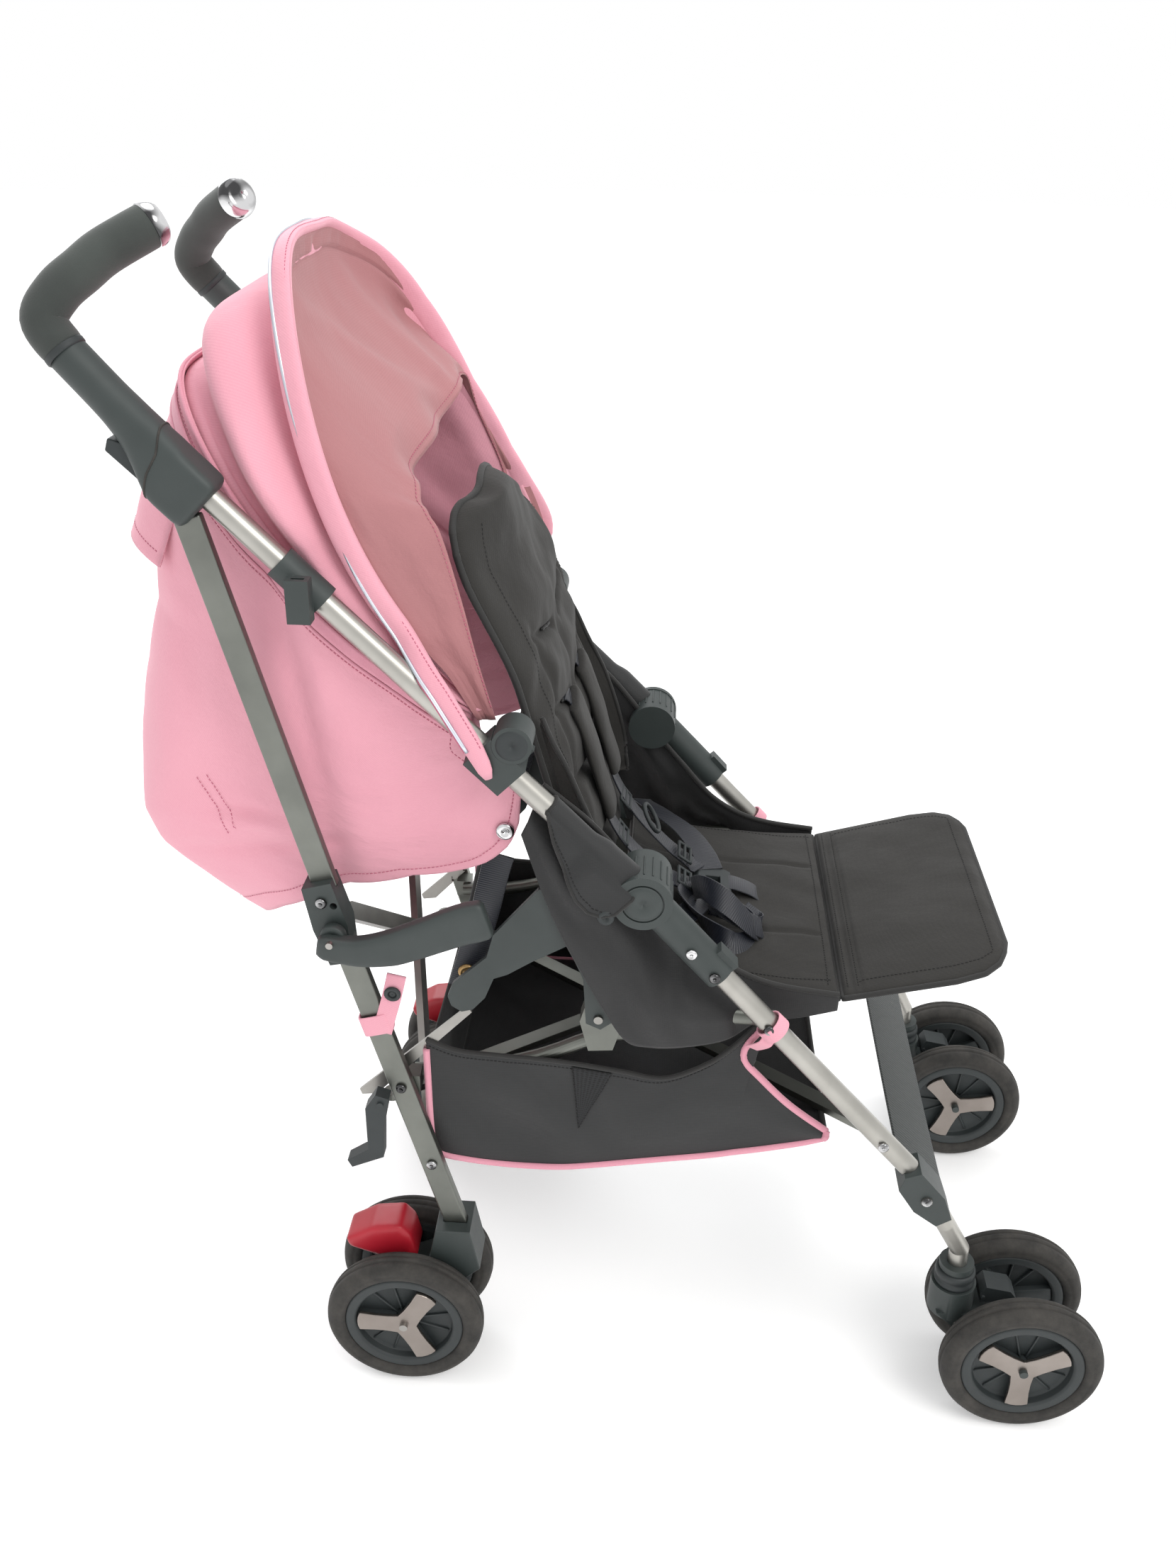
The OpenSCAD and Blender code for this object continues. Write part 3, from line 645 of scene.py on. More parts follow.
def wheel(name, x, y, face, turn):
    """Tyre, rim and Y-shaped trim; face is the side (+1 or -1 along X) that shows the trim."""
    body = name + "_body"
    centre = (x, y, WHEEL_R)
    tyre = TYRE_HALF + [(r, -h) for r, h in TYRE_HALF[-2::-1]]
    turned(name + "_tyre", tyre, centre, "rubber", body, segments=96)
    barrel = [(r, h * face) for r, h in BARREL][::face]
    parts = [lathed(RIM, centre, segments=96), lathed(barrel, centre, segments=32)]
    outline = []
    for third in (0, 120, 240):
        for a, reach, wide, deep in SPOKES:
            ang = math.radians(turn + third + a)
            d, w = arr([0, math.cos(ang), math.sin(ang)]), arr([0, -math.sin(ang), math.cos(ang)])
            line = arr(centre) + np.outer(np.linspace(8, reach, 5), d)
            parts.append(swept(line, [[-wide, -deep], [wide, -deep], [wide, deep], [-wide, deep]], side=w))
        for a, r in TRIM_ARM:
            ang = math.radians(turn + third + a)
            outline.append((r * math.cos(ang), r * math.sin(ang)))
    rim = build(name + "_rim", *join_parts(parts), "plastic_dark", body)
    round_edges(rim, 0.6, 2)
    o, m = arr(outline), len(outline)
    back, front = (np.full(m, x + face * depth) for depth in (TRIM_BACK, TRIM_FACE))
    v = np.r_[np.c_[back, o], np.c_[front, o * 0.985]] + arr([0, y, WHEEL_R])
    faces = [(i, (i + 1) % m, (i + 1) % m + m, i + m) for i in range(m)]
    faces += [tuple(range(m)), tuple(range(m, 2 * m))]
    plate = build(name + "_trim", v, faces, "trim", body, flat=True)
    round_edges(plate, 0.8, 2)
    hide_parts(name)


for s, word in SIDES:
    for end, y, outer_x, outer_turn, inner_turn in (("front", FRONT_Y, 229, 30, 50),
                                                    ("rear", REAR_Y, 219, 2, 20)):
        wheel(f"{end}_wheel_{word}_outer", s * outer_x, y, s, outer_turn)
        wheel(f"{end}_wheel_{word}_inner", s * INNER_X, y, -s, inner_turn)

# ---------- frame ----------
HUB = arr([180, -6, 543.5])
PUSH = arr([0, math.cos(math.radians(44.6)), math.sin(math.radians(44.6))])
PUSH_OUT = arr([0, -0.702, 0.712])  # square to PUSH, forwards and up
LEG = arr([0.04, -math.cos(math.radians(46.9)), -math.sin(math.radians(46.9))])
GRIP = [(172, 420, 970), (168, 433, 989), (158, 424, 1007), (145, 410, 1020), (131, 396, 1032),
        (107, 367, 1049)]
REAR_LEAN = math.atan2(102, 368)
KNOB = arr([101, 683])
HINGE = arr([251, 506])

for s, word in SIDES:
    flip = arr([s, 1, 1])
    side = "side_" + word
    for node, key in (("push_tube_", "silver"), ("front_leg_", "silver"), ("steel_fittings_", "steel"),
                      ("seat_rail_", "grey_tube")):
        paint(node + word, key)
    for node, key, width in (("fold_hub_", "plastic", 1.6), ("tube_clips_", "plastic", 2.2),
                             ("leg_joint_", "plastic", 3.0), ("leg_hinge_", "plastic", 2.4),
                             ("rear_axle_block_", "plastic", 3.5), ("caster_", "plastic", 2.6),
                             ("caster_lock_", "plastic_dark", 1.6), ("brake_pedal_", "red", 2.0),
                             ("handle_trigger_", "plastic_dark", 1.2), ("recline_arm_", "plastic", 1.8),
                             ("rear_leg_", "grey_tube", 1.8)):
        soften(node + word, key, width)
    # The pedal is a moulding with no flat faces left
    pedal = bpy.data.objects[f"brake_pedal_{word}_shell"]
    pedal.modifiers.clear()
    remesh = pedal.modifiers.new("Remesh", "REMESH")
    remesh.mode, remesh.voxel_size, remesh.use_smooth_shade = "VOXEL", 1.5 * MM, True
    rounded = pedal.modifiers.new("Smooth", "SMOOTH")
    rounded.factor, rounded.iterations = 0.9, 26

    grip = spline(GRIP, 40) * flip
    swell = table(np.linspace(0, 1, len(grip)), [(0, 0.94), (0.03, 0.985), (0.06, 1), (0.94, 1), (1, 0.97)])
    bar = sweep(f"handle_grip_{word}_foam", grip, oval(16.5, 16.2, 40), "foam", side,
                scale=np.c_[swell, swell])
    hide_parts("handle_grip_" + word)
    tip, out = grip[-1], unit(grip[-1] - grip[-2])
    cap = turned(f"handle_cap_{word}_chrome",
                 [(0, 5.9), (9, 5.8), (12.6, 5.2), (15, 3.4), (16.2, 0.6), (16.9, -2.4), (17, -5.4),
                  (16.6, -6), (12, -6), (0, -6)], tip, "chrome", side, axis=out)
    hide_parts("handle_cap_" + word)
    collar = grip[0] - 1.2 * unit(grip[1] - grip[0])
    turned(f"handle_collar_{word}", [(10, -3), (15.4, -3), (16.1, -2), (16.1, 1.6), (15.5, 2.4), (10, 2.4)],
           collar, "plastic_dark", side, axis=unit(grip[1] - grip[0]))

    # The handle housing: a round sleeve, straight along its top, that grows below into a rounded block
    shape = spline([(601, 172.2, 4.4, 15, 15, 2), (562, 175.3, 2.9, 15, 15.2, 2),
                    (545, 176.6, 2.0, 15.4, 15.9, 2.1), (530, 178, 0.6, 15.9, 17.1, 2.4),
                    (516, 180, -1.6, 16.7, 19.3, 3), (504, 181.5, -4.0, 17.4, 21.6, 3.9),
                    (494, 183, -5.6, 18, 23, 4.6), (478, 183, -6, 18.2, 23, 5), (468, 183, -6, 18, 22.6, 5),
                    (464, 183, -6, 16.4, 20.8, 5), (462, 183, -6, 12.5, 16.5, 5)], 80)
    across = arr([(1, 0, 0), PUSH_OUT])
    rows = arr([HUB * (0, 1, 1) + dist * PUSH
                + (squarish(half_x, half_e, 44, 2 / power, 2 / power) + (x_mid, e_mid)) @ across
                for dist, x_mid, e_mid, half_x, half_e, power in shape])
    skin = tube_faces(*rows.shape[:2])
    housing = build(f"handle_housing_{word}_moulding", rows.reshape(-1, 3) * flip, skin, "plastic", side)
    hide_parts("handle_housing_" + word)
    seam_d = 507 + oval(13, 13, 44)[:, 1]  # the block's joint with the sleeve leans: further up on top
    seam = [[np.interp(-d, -shape[:, 0], rows[:, j, axis]) for axis in range(3)]
            for j, d in enumerate(seam_d)]
    piping(f"handle_housing_{word}_seam", arr(seam) * flip, 0.9, "rubber", side, True)

    turned(f"hub_cover_{word}", [(0, 1.4), (12, 1.2), (15.2, 0.6), (16.3, -0.6), (16.3, -2.5), (0, -2.5)],
           (s * 195.5, HUB[1], HUB[2]), "plastic", side, axis=(s, 0, 0), segments=64)
    turned(f"knob_cover_{word}", [(0, 1.6), (11, 1.3), (13.4, 0.4), (14, -1), (0, -1)],
           (s * 195.4, KNOB[0], KNOB[1]), "plastic_dark", side, axis=(s, 0, 0))
    ribs = [swept([c + (x, 0, 0) for x in (158, 160, 186, 188)], oval(0.8, 0.8, 6), side=(0, 1, 0.2))
            for c in circle_line((0, HUB[1], HUB[2]), 24.2, (0, 1, 0), (0, 0, 1), 20)]  # round the hub's drum
    v, faces = join_parts(ribs)
    build(f"hub_ribs_{word}", v * flip, faces, "plastic", side)

    rear_y = [(z, 152 + (z - 140) * math.tan(REAR_LEAN)) for z in (332, 243)]
    heads = [HUB + dist * LEG + (proud, 0, 0)
             for dist, proud in ((62, 16.8), (92, 16.8), (165, 11.4), (325, 11.4))]
    heads.append(arr([(HUB + 385 * LEG)[0] + 16.6, -272, 252]))
    heads += [arr([190.6, y, z]) for z, y in rear_y] + [arr([201.6, 261, 533])]
    rivet = [(0.05, 0.9), (1.5, 1.1), (1.9, 1.9), (3.4, 1.9), (4.7, 0.9), (5, -0.6), (0.05, -0.6)]
    rivets = join_parts([lathed(rivet, p * flip, (s, 0, 0), 20) for p in heads])
    build(f"rivet_heads_{word}", *rivets, "chrome", side)

    # Caster: a ribbed collar, the swivel's clamp ring and a screw
    swivel = arr([186.5, -316, 0]) * flip
    turned(f"caster_collar_{word}",
           [(15.6, 134), (18.6, 135), (19, 138), (17.4, 139.6), (17.4, 143), (19, 144.5), (18.4, 149),
            (15.6, 152)], swivel, "plastic_dark", f"caster_{word}_body", axis=(0, 0, 1))
    turned(f"caster_screw_{word}", [(0, 1.4), (1.8, 1.6), (2.2, 2.2), (4.2, 1.8), (4.6, -1), (0, -1)],
           (s * 207.2, -322, 97), "steel", f"caster_{word}_body", axis=(s, 0, 0), segments=20)

for bar_name, key in (("base_bar_a", "grey_tube"), ("base_bar_b", "grey_tube"), ("rear_bar_a", "steel"),
                      ("rear_bar_b", "steel"), ("fold_pedal", "plastic_dark"), ("buckle", "plastic_dark")):
    soften(bar_name, key, 1.4)
paint("cross_bolts", "steel")

# Side carrying handle: a broad moulded hook, thin at its root
handle_line = spline([(-214, 263, 500.5), (-214, 232, 496), (-214, 205, 500), (-214, 184, 508),
                      (-214, 162, 518), (-214, 142, 527), (-214, 120, 534)], 60)
share = np.linspace(0, 1, len(handle_line))
deep = table(share, [(0, 0.6), (0.05, 0.84), (0.14, 0.92), (0.36, 1.16), (0.65, 1.24), (0.9, 1.34),
                     (0.97, 1.28), (1, 1.1)])
wide = table(share, [(0, 0.6), (0.04, 0.95), (0.5, 1), (0.96, 0.95), (1, 0.7)])
grab = sweep("carry_handle_moulding", handle_line, squarish(8, 13.5, 32, 0.5, 0.5), "plastic",
             "carry_handle_body", scale=np.c_[wide, deep])
turned("carry_handle_boss", [(3.2, 1), (9.5, 1), (10.5, 2), (10.5, 9), (9.5, 10), (3.2, 10)],
              (-202, HINGE[0], HINGE[1]), "plastic", "carry_handle_body", axis=(-1, 0, 0))
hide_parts("carry_handle")

# ---------- canopy ----------
# Points of the canopy are told by their angle about the pivot (from straight back, rising), their share of
# the bow's height there, and their share of its half width.


CANOPY_MIDDLE = (0, KNOB[0] + 60, KNOB[1] + 60)


def bow_turns(power, count, width, radius, foot):
    """Both halves of a bow, right side first, as turns from its right foot that give even spacing."""
    a = np.linspace(0, math.pi / 2, 900)
    d = lengths(np.c_[width * np.cos(a) ** (2 / power), radius * np.sin(a) ** (2 / power)])
    turns = np.interp(np.linspace(0, d[-1], count + 1), d, a)
    turns = turns[np.sin(turns) ** (2 / power) >= foot]
    return np.r_[turns, math.pi - turns[-2::-1]]


def at_turns(turns, power):
    """Share of the half width (negative on the right) and share of the height."""
    c = np.cos(turns)
    return -np.sign(c) * np.abs(c) ** (2 / power), np.sin(turns) ** (2 / power)


def whole_bow(power, count, width, radius, foot):
    return at_turns(bow_turns(power, count, width, radius, foot), power)


def seam_angle(q):
    return 45 - 25.5 * (1 - q) ** 1.15


def hoop_angle(c, q):
    """The left arm of the hoop stands further forward than the right one, as a used canopy does."""
    forward = table(q, [(0.16, 44), (0.37, 27), (0.55, 17), (0.76, 9), (0.9, 5), (1, 1)])
    return 62.8 - 33 * (1 - q) ** 1.3 + forward * smooth(0.35, 0.9, c)


def on_bow(c, q, angle, radius, width):
    a, rho = np.radians(angle), q * radius
    return np.stack(np.broadcast_arrays(c * width, KNOB[0] + rho * np.cos(a), KNOB[1] + rho * np.sin(a)), -1)


def puff_out(p, amount):
    """Moves a canopy grid's points away from the inside of the canopy."""
    return p + outward(cloth_normals(p), p, CANOPY_MIDDLE) * np.asarray(amount)[..., None]


def side_share(p):
    """1 on the canopy's side walls, 0 on its roof and back."""
    return smooth(120, 152, np.abs(p[..., 0]))


REAR_RADIUS = [(-95, 302), (-47, 316), (-42, 331), (-37, 336), (-31, 348), (-24, 366), (-19, 366), (-12, 348),
               (-4, 332), (4, 321), (14, 314), (20, 322), (30, 345), (36, 360), (45, 373), (60, 380)]
HEM_ANGLE = [(0, -94), (0.2, -93), (0.29, -91), (0.36, -86.5), (0.42, -79), (0.47, -70), (0.54, -58),
             (0.7, -45), (0.86, -42.6), (1, -42)]


def canopy_rear():
    c, q = whole_bow(5, 70, 161, 330, 0.1)
    rows = 84
    v = np.linspace(0, 1, rows)[None]
    start, end = seam_angle(q)[:, None], table(q, HEM_ANGLE)[:, None]
    angle = start + (end - start) * v
    radius = table(angle, REAR_RADIUS)
    mid = on_bow(c[:, None], q[:, None], angle, radius, 161.5 - 1.5 * v)
    x, y, z = mid[..., 0], mid[..., 1], mid[..., 2]
    side, edge = side_share(mid), smooth(0, 0.06, v) * (0.35 + 0.65 * smooth(1.0, 0.93, v))
    lean = ((y - 257) * 273 - (z - 547) * 41) / 276  # across the long crease down each side
    d = side * (-3.6 * bell(lean, -4, 9) + 2.2 * bell(lean, 14, 12) + 1.6 * bell(lean, -26, 16))
    slope = ((y - 398) * 0.5 + (z - 700) * 0.14)
    d += side * 2.4 * bell(slope, 0, 7) * smooth(520, 600, z)
    d += (2.6 * ripple(y / 42 + x / 300, z / 60, 3) + 1.6 * ripple(y / 17, z / 34, 7)) * side
    d += 2.6 * side * smooth(395, 425, y) * np.sin(y / 5 + z / 60)  # upright folds at the back edge
    d -= side * 4.0 * bell((y - 300) * 0.18 + (z - 560), 0, 7) * smooth(230, 270, y)
    d += (1 - side) * (3.6 * ripple(x / 60, z / 85, 5) + 2.5 * np.sin(x / 24 + z / 70) * smooth(720, 560, z))
    tuck = np.hypot((y - 330) / 34, (z - 585) / 12)  # pulled creases at the low corner's darts
    d -= side * 5 * np.exp(-tuck**2) * np.sin((z - 585) / 5)
    d += 4.5 * smooth(0.8, 1, v) * np.sin(q[:, None] * 17 + x / 30) * smooth(0.5, 0.8, q[:, None])
    d = d * edge
    d = np.where(side > 0.5, np.minimum(d, 5.5), d)
    mid = puff_out(mid, d)
    thick = np.full(mid.shape[:2], 1.5)
    thick[:, -4:] = thick[:3] = thick[-3:] = 2.6
    thick[3:-3, -5] = 1.2
    sheet = cloth("canopy_rear_cloth", mid, thick, "pink", "seat_base")
    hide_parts("canopy_rear")
    n = outward(cloth_normals(mid), mid, CANOPY_MIDDLE)
    made = [sheet]
    outer = mid + n * 1.4
    run = np.linalg.norm(np.diff(mid, axis=1), axis=2).sum(1)
    at = np.arange(len(q))

    def along_seam(dist, lift):
        return on_grid(outer + n * lift, at, np.clip(dist / run, 0, 1) * (rows - 1))

    made.append(piping("canopy_seam_piping", along_seam(1.5, 0.6), 1.9, "pink_trim", "seat_base"))
    zip_mid = np.stack([along_seam(dist, 0.5) for dist in (11, 14, 17, 20, 23)], 1)
    made.append(cloth("canopy_zip_cover", zip_mid, 1.3, "pink_trim", "seat_base"))
    made.append(piping("canopy_zip_cord", along_seam(25.5, 0.3), 1.5, "pink_trim", "seat_base"))
    for k, dist in enumerate((8.5, 29)):
        made.append(stitches(f"canopy_seam_stitches_{k}", along_seam(dist, 0.2), on_grid(n, at, 2 + 0 * at),
                             "pink_thread", "seat_base"))
    low = rows - 5
    made.append(stitches("canopy_hem_stitches", outer[2:-2, low], n[2:-2, low], "pink_thread", "seat_base"))
    for s, word in SIDES:
        i = 2 if s < 0 else len(q) - 3
        made.append(stitches(f"canopy_edge_stitches_{word}", outer[i, 3:low], n[i, 3:low], "pink_thread",
                             "seat_base"))
        for k, bend in enumerate(((0, 0), (9, 3))):  # the curved darts at the low rear corner
            line = spline([(s * 164, 362 + bend[0], 622 - bend[1]), (s * 164, 349 + bend[0], 598 - bend[1]),
                           (s * 164, 341 + bend[0], 572 - bend[1])], 14)
            near = ((mid[None, :, :, 1] - line[:, None, None, 1]) ** 2
                    + (mid[None, :, :, 2] - line[:, None, None, 2]) ** 2
                    + 1e6 * (mid[None, :, :, 0] * s < 100))
            spots = near.reshape(len(line), -1).argmin(1)
            line = line.copy()
            line[:, 0] = outer.reshape(-1, 3)[spots, 0] + s * 0.3
            made.append(stitches(f"canopy_dart_{word}_{k}", line, (s, 0, 0), "pink_thread", "seat_base"))
        snap = [(0, 0.6), (2.6, 0.7), (3.2, 1.9), (5.2, 2.2), (7.2, 1.4), (7.8, 0), (7.8, -1.4), (0, -1.4)]
        made.append(turned(f"canopy_snap_{word}", snap, (s * 163.4, 111, 588), "chrome", "seat_base",
                           axis=(s, 0, 0)))
    crumple(*made)


def canopy_flap():
    """The loose cover over the rear window, held along its top."""
    c, q = whole_bow(4.6, 60, 160, 345, 0.87)
    v = np.linspace(0, 1, 22)[None]
    angle = 35.5 + (22.5 - 35.5) * v + 0 * q[:, None]
    radius = table(angle, [(20.4, 347), (24, 348), (30, 353), (35.5, 362)])
    mid = on_bow(c[:, None], q[:, None], angle, radius, 162)
    x = mid[..., 0]
    d = v**1.5 * (5 * ripple(x / 38, v * 2.0, 8) + 4 * np.sin(x / 21)) + 3 * v * bell(np.abs(x), 150, 20)
    d = np.where(np.abs(x) > 150, np.minimum(d, 3.5), d)
    mid = puff_out(mid, d)
    thick = np.full(mid.shape[:2], 1.5)
    thick[:, -3:] = 2.4
    made = [cloth("canopy_rear_flap", mid, thick, "pink", "seat_base")]
    n = outward(cloth_normals(mid), mid, CANOPY_MIDDLE)
    made.append(stitches("canopy_flap_stitches", (mid + n)[1:-1, -4], n[1:-1, -4], "pink_thread",
                         "seat_base"))
    crumple(*made)


def canopy_front():
    body = "canopy_front_body"
    turns = bow_turns(4.7, 76, 161, 375, 0.1)
    rows, hidden = 64, 0.42
    v = np.linspace(0, 1, rows)[None]
    w = np.clip((v - hidden) / (1 - hidden), 0, 1)
    left = turns[:, None] > math.pi / 2
    cc, qq = at_turns(turns[:, None], 4.7 - np.where(left, 1.4, 0.8) * w)  # rounder towards the hoop
    seam, hoop = seam_angle(qq), hoop_angle(cc, qq)
    angle = np.where(v < hidden, seam - 40 * (1 - v / hidden), seam + (hoop - seam) * w)
    tucked = table(angle, [(-30, 300), (12, 300), (20, 308), (32, 334), (45, 358)])
    width = 152 + 9.5 * smooth(hidden - 0.06, hidden + 0.02, v) + 1.5 * w
    radius = np.where(v < hidden, tucked + 14 * smooth(hidden - 0.06, hidden, v), 372 + 25 * w)
    mid = on_bow(cc, qq, angle, radius, width)
    x, y, z = mid[..., 0], mid[..., 1], mid[..., 2]
    shift = 0.05 * ripple(cc * 3.0 + 5 * qq, 0 * v, 4) * np.sin(w * math.pi)
    curve = spline([(0, -2.5), (0.14, -9), (0.34, 5.5), (0.5, 3), (0.66, -7), (0.82, -23), (0.93, -14),
                    (1, -2)], 60)
    fold = np.interp(np.clip(w + shift, 0, 1), curve[:, 0], curve[:, 1])
    grow = smooth(0.1, 0.55, qq)
    d = fold * (0.25 + 0.75 * grow) * (v >= hidden) * (1 - 0.7 * smooth(0.1, 0.6, cc))
    d -= 3.0 * smooth(0.32, 0.14, w) * (v >= hidden)
    pouch = np.hypot((z - 872) / 34, (w - 0.38) / 0.24) + 9 * (v < hidden)
    d += 8.5 * np.exp(-pouch**2) * side_share(mid)
    d -= 4 * bell(z, 815, 22) * side_share(mid) * np.sin(w * math.pi)
    d += 2.0 * ripple(y / 30 + x / 60, z / 38, 6) * np.sin(w * math.pi)
    mid = puff_out(mid, d)
    far_out = np.abs(mid[..., 0]) > 168.5
    mid[..., 0] = np.where(far_out & (z < 905), np.sign(x) * 168.5, mid[..., 0])
    sheet = cloth("canopy_front_cloth", mid, 1.5, "pink", body)
    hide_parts("canopy_front")
    made = [sheet]

    # The hoop's padded edge, with a reflective cord and stitches; its feet end in pockets over the clips
    hoop_wide, hoop_high = 164, 398
    foot_turns = bow_turns(3.9, 90, hoop_wide, hoop_high, 0.17)
    foot_c, foot_q = at_turns(foot_turns, np.where(foot_turns > math.pi / 2, 3.3, 3.9))
    lean = hoop_angle(foot_c, foot_q)
    line = on_bow(foot_c, foot_q, lean, hoop_high, hoop_wide)
    line[:, 0] += np.sign(line[:, 0]) * 33 * smooth(125, 55, foot_q * hoop_high)
    across = np.stack([0 * foot_q, -np.sin(np.radians(lean)), np.cos(np.radians(lean))], 1)
    feet = arr([(198.5, 119, 655), (199, 124, 668), (198.5, 132, 684)])
    lead = arr([(0, 0.9, 0.3), (0, 0.6, 0.62), (0, 0.1, 0.98)]) * (1, -1, 1)
    line = np.r_[feet * (-1, 1, 1), line, feet[::-1]]
    across = np.r_[lead, across, lead[::-1]]
    line, across = even(line, 150), unit(even(across, 150))
    t = unit(np.gradient(line, axis=0))
    out = outward(np.cross(t, across), line, (0, 190, 800))
    share = np.linspace(0, 1, len(line))
    ends = np.minimum(share, 1 - share)
    puffy = table(ends, [(0, 0.35), (0.008, 0.75), (0.03, 1), (0.12, 1.12), (0.2, 1)])
    flat = table(ends, [(0, 0.3), (0.008, 0.62), (0.03, 0.8), (0.12, 0.9), (0.3, 1)])
    edge = sweep("canopy_hoop_edge", line, squarish(10.5, 4.4, 24, 0.8), "pink", body, side=across,
                 scale=np.c_[flat, puffy])
    keep = slice(4, -4)

    def on_hoop(sideways, above, gap=0):
        """A line along the hoop, by its place across the hoop and above its middle."""
        return (line + across * sideways * flat[:, None] + out * (above * puffy[:, None] + gap))[keep]

    made += [edge,
             sweep("canopy_reflective_cord", on_hoop(-6.2, 4.3, 0.3), oval(1.7, 1.5, 10), "reflective", body,
                   side=across[keep]),
             piping("canopy_cord_lip", on_hoop(-9.2, 2.4), 1.1, "pink_thread", body),
             stitches("canopy_hoop_stitches", on_hoop(8.0, 3.3), out[keep], "pink_thread", body)]

    # The lining hangs from the hoop and comes forward at the sides
    u = np.linspace(0.035, 0.965, 110)
    near = np.round(u * 150).astype(int)
    inset = 6 * table(np.minimum(u, 1 - u), [(0, 0.5), (0.1, 0.8), (0.3, 1)])[:, None]
    top = on_line(line, u * 150) + even(across, 150)[near] * inset - out[near] * 2.2
    top[:, 0] = np.clip(top[:, 0], -166, 166)
    low = arr([(-163, 117, 690), (-158, 131, 737), (-152, 145, 790), (-146, 160, 838), (-133, 176, 855),
               (-101, 184, 868), (-55, 187, 873), (-5, 184, 880), (50, 179, 890), (104, 176, 902),
               (140, 180, 898), (152, 171, 866), (155, 149, 812), (158, 132, 745), (163, 117, 690)])
    places = arr([0.035, 0.09, 0.15, 0.215, 0.28, 0.36, 0.43, 0.5, 0.57, 0.64, 0.72, 0.785, 0.85, 0.91,
                  0.965])
    low = on_line(spline(low, 140), np.interp(u, places, np.arange(len(places))) * 10)
    v = np.linspace(0, 1, 46)[None, :, None]
    deep = smooth(0.12, 0.42, np.minimum(u, 1 - u))[:, None, None]
    mid = top[:, None] * (1 - v) + low[:, None] * v
    bow_out = np.sin(np.clip(v * 1.25, 0, 1) * math.pi)
    mid = mid + arr([0, 30, 16]) * deep * bow_out + arr([0, 0, -1]) * 6 * deep * np.sin(v * math.pi)
    uu, vv = u[:, None], v[..., 0]
    gather = smooth(0.2, 0.32, uu) * smooth(0.64, 0.54, uu) * smooth(0.02, 0.07, vv) * smooth(0.17, 0.13, vv)
    d = 2.6 * gather * np.sin(uu * 300 + 2 * np.sin(uu * 57))
    d -= 2.6 * bell(vv, 0.155, 0.012) * smooth(0.2, 0.3, np.minimum(uu, 1 - uu))
    open_part = smooth(0.17, 0.35, vv)
    d += open_part * (4.5 * bell(uu - 0.25 * vv, 0.33, 0.022) - 4 * bell(uu - 0.12 * vv, 0.44, 0.03)
                      + 5 * bell(uu - 0.05 * vv, 0.55, 0.018) - 6 * bell(uu + 0.1 * vv, 0.70, 0.03)
                      + 3.5 * bell(uu, 0.2 + 0.06 * vv, 0.016) + 2.2 * ripple(uu * 26, vv * 5, 9))
    d += 5 * smooth(0.75, 1, vv) * np.sin(uu * 44) * deep[..., 0]
    n = cloth_normals(mid)
    n *= np.where(n[..., 1:2] > 0, -1, 1)
    mid = mid + n * d[..., None]
    # the lining's colour is the canopy pink darkened as painted shade
    hang = cloth("canopy_lining", mid, 1.3, "lining", body)
    made += [hang, stitches("canopy_lining_stitches", (mid + n * 1.0)[2:-2, -3], n[2:-2, -3], "pink_thread",
                            body)]
    crumple(*made)


canopy_rear()
canopy_flap()
canopy_front()

# ---------- seat, backrest, calf rest and straps ----------
BACK_LOW = arr([0, 40, 476])
BACK_UP, BACK_OUT = arr([0, 0.2715, 0.9625]), arr([0, -0.9625, 0.2715])
BACK_HALF = [(0, 136), (60, 141), (200, 142), (340, 141), (366, 136), (383, 126), (394, 111), (401, 94),
             (405, 72)]
SLOTS = (192, 262)  # heights of the harness slots up the pad


def pad(name, front, back, finish, body):
    """A closed cushion between its front and back faces, both grids of points."""
    front, back = arr(front), arr(back)
    thick = np.linalg.norm(front - back, axis=2)
    ob = slab(name, (front + back) / 2, thick, finish, body, unit(front - back))
    return ob


def fullness(u, v, power, low, high):
    """1 inside a pad and 0 at its edges."""
    across = np.sqrt(np.clip(1 - np.abs(u) ** power, 0, 1))
    return across * np.sqrt(smooth(0, low, v) * smooth(1, high, v) + 1e-6)


def rim(q):
    """The edge of a grid as one closed line."""
    return np.r_[q[:, 0], q[-1, 1:], q[-2::-1, -1], q[0, -2:0:-1]]


def in_back(x, t, out):
    """Points by their place across and up the backrest and their distance in front of its back face."""
    x, t, out = np.broadcast_arrays(arr(x), arr(t), arr(out))
    return BACK_LOW + t[..., None] * BACK_UP + out[..., None] * BACK_OUT + x[..., None] * arr([1, 0, 0])


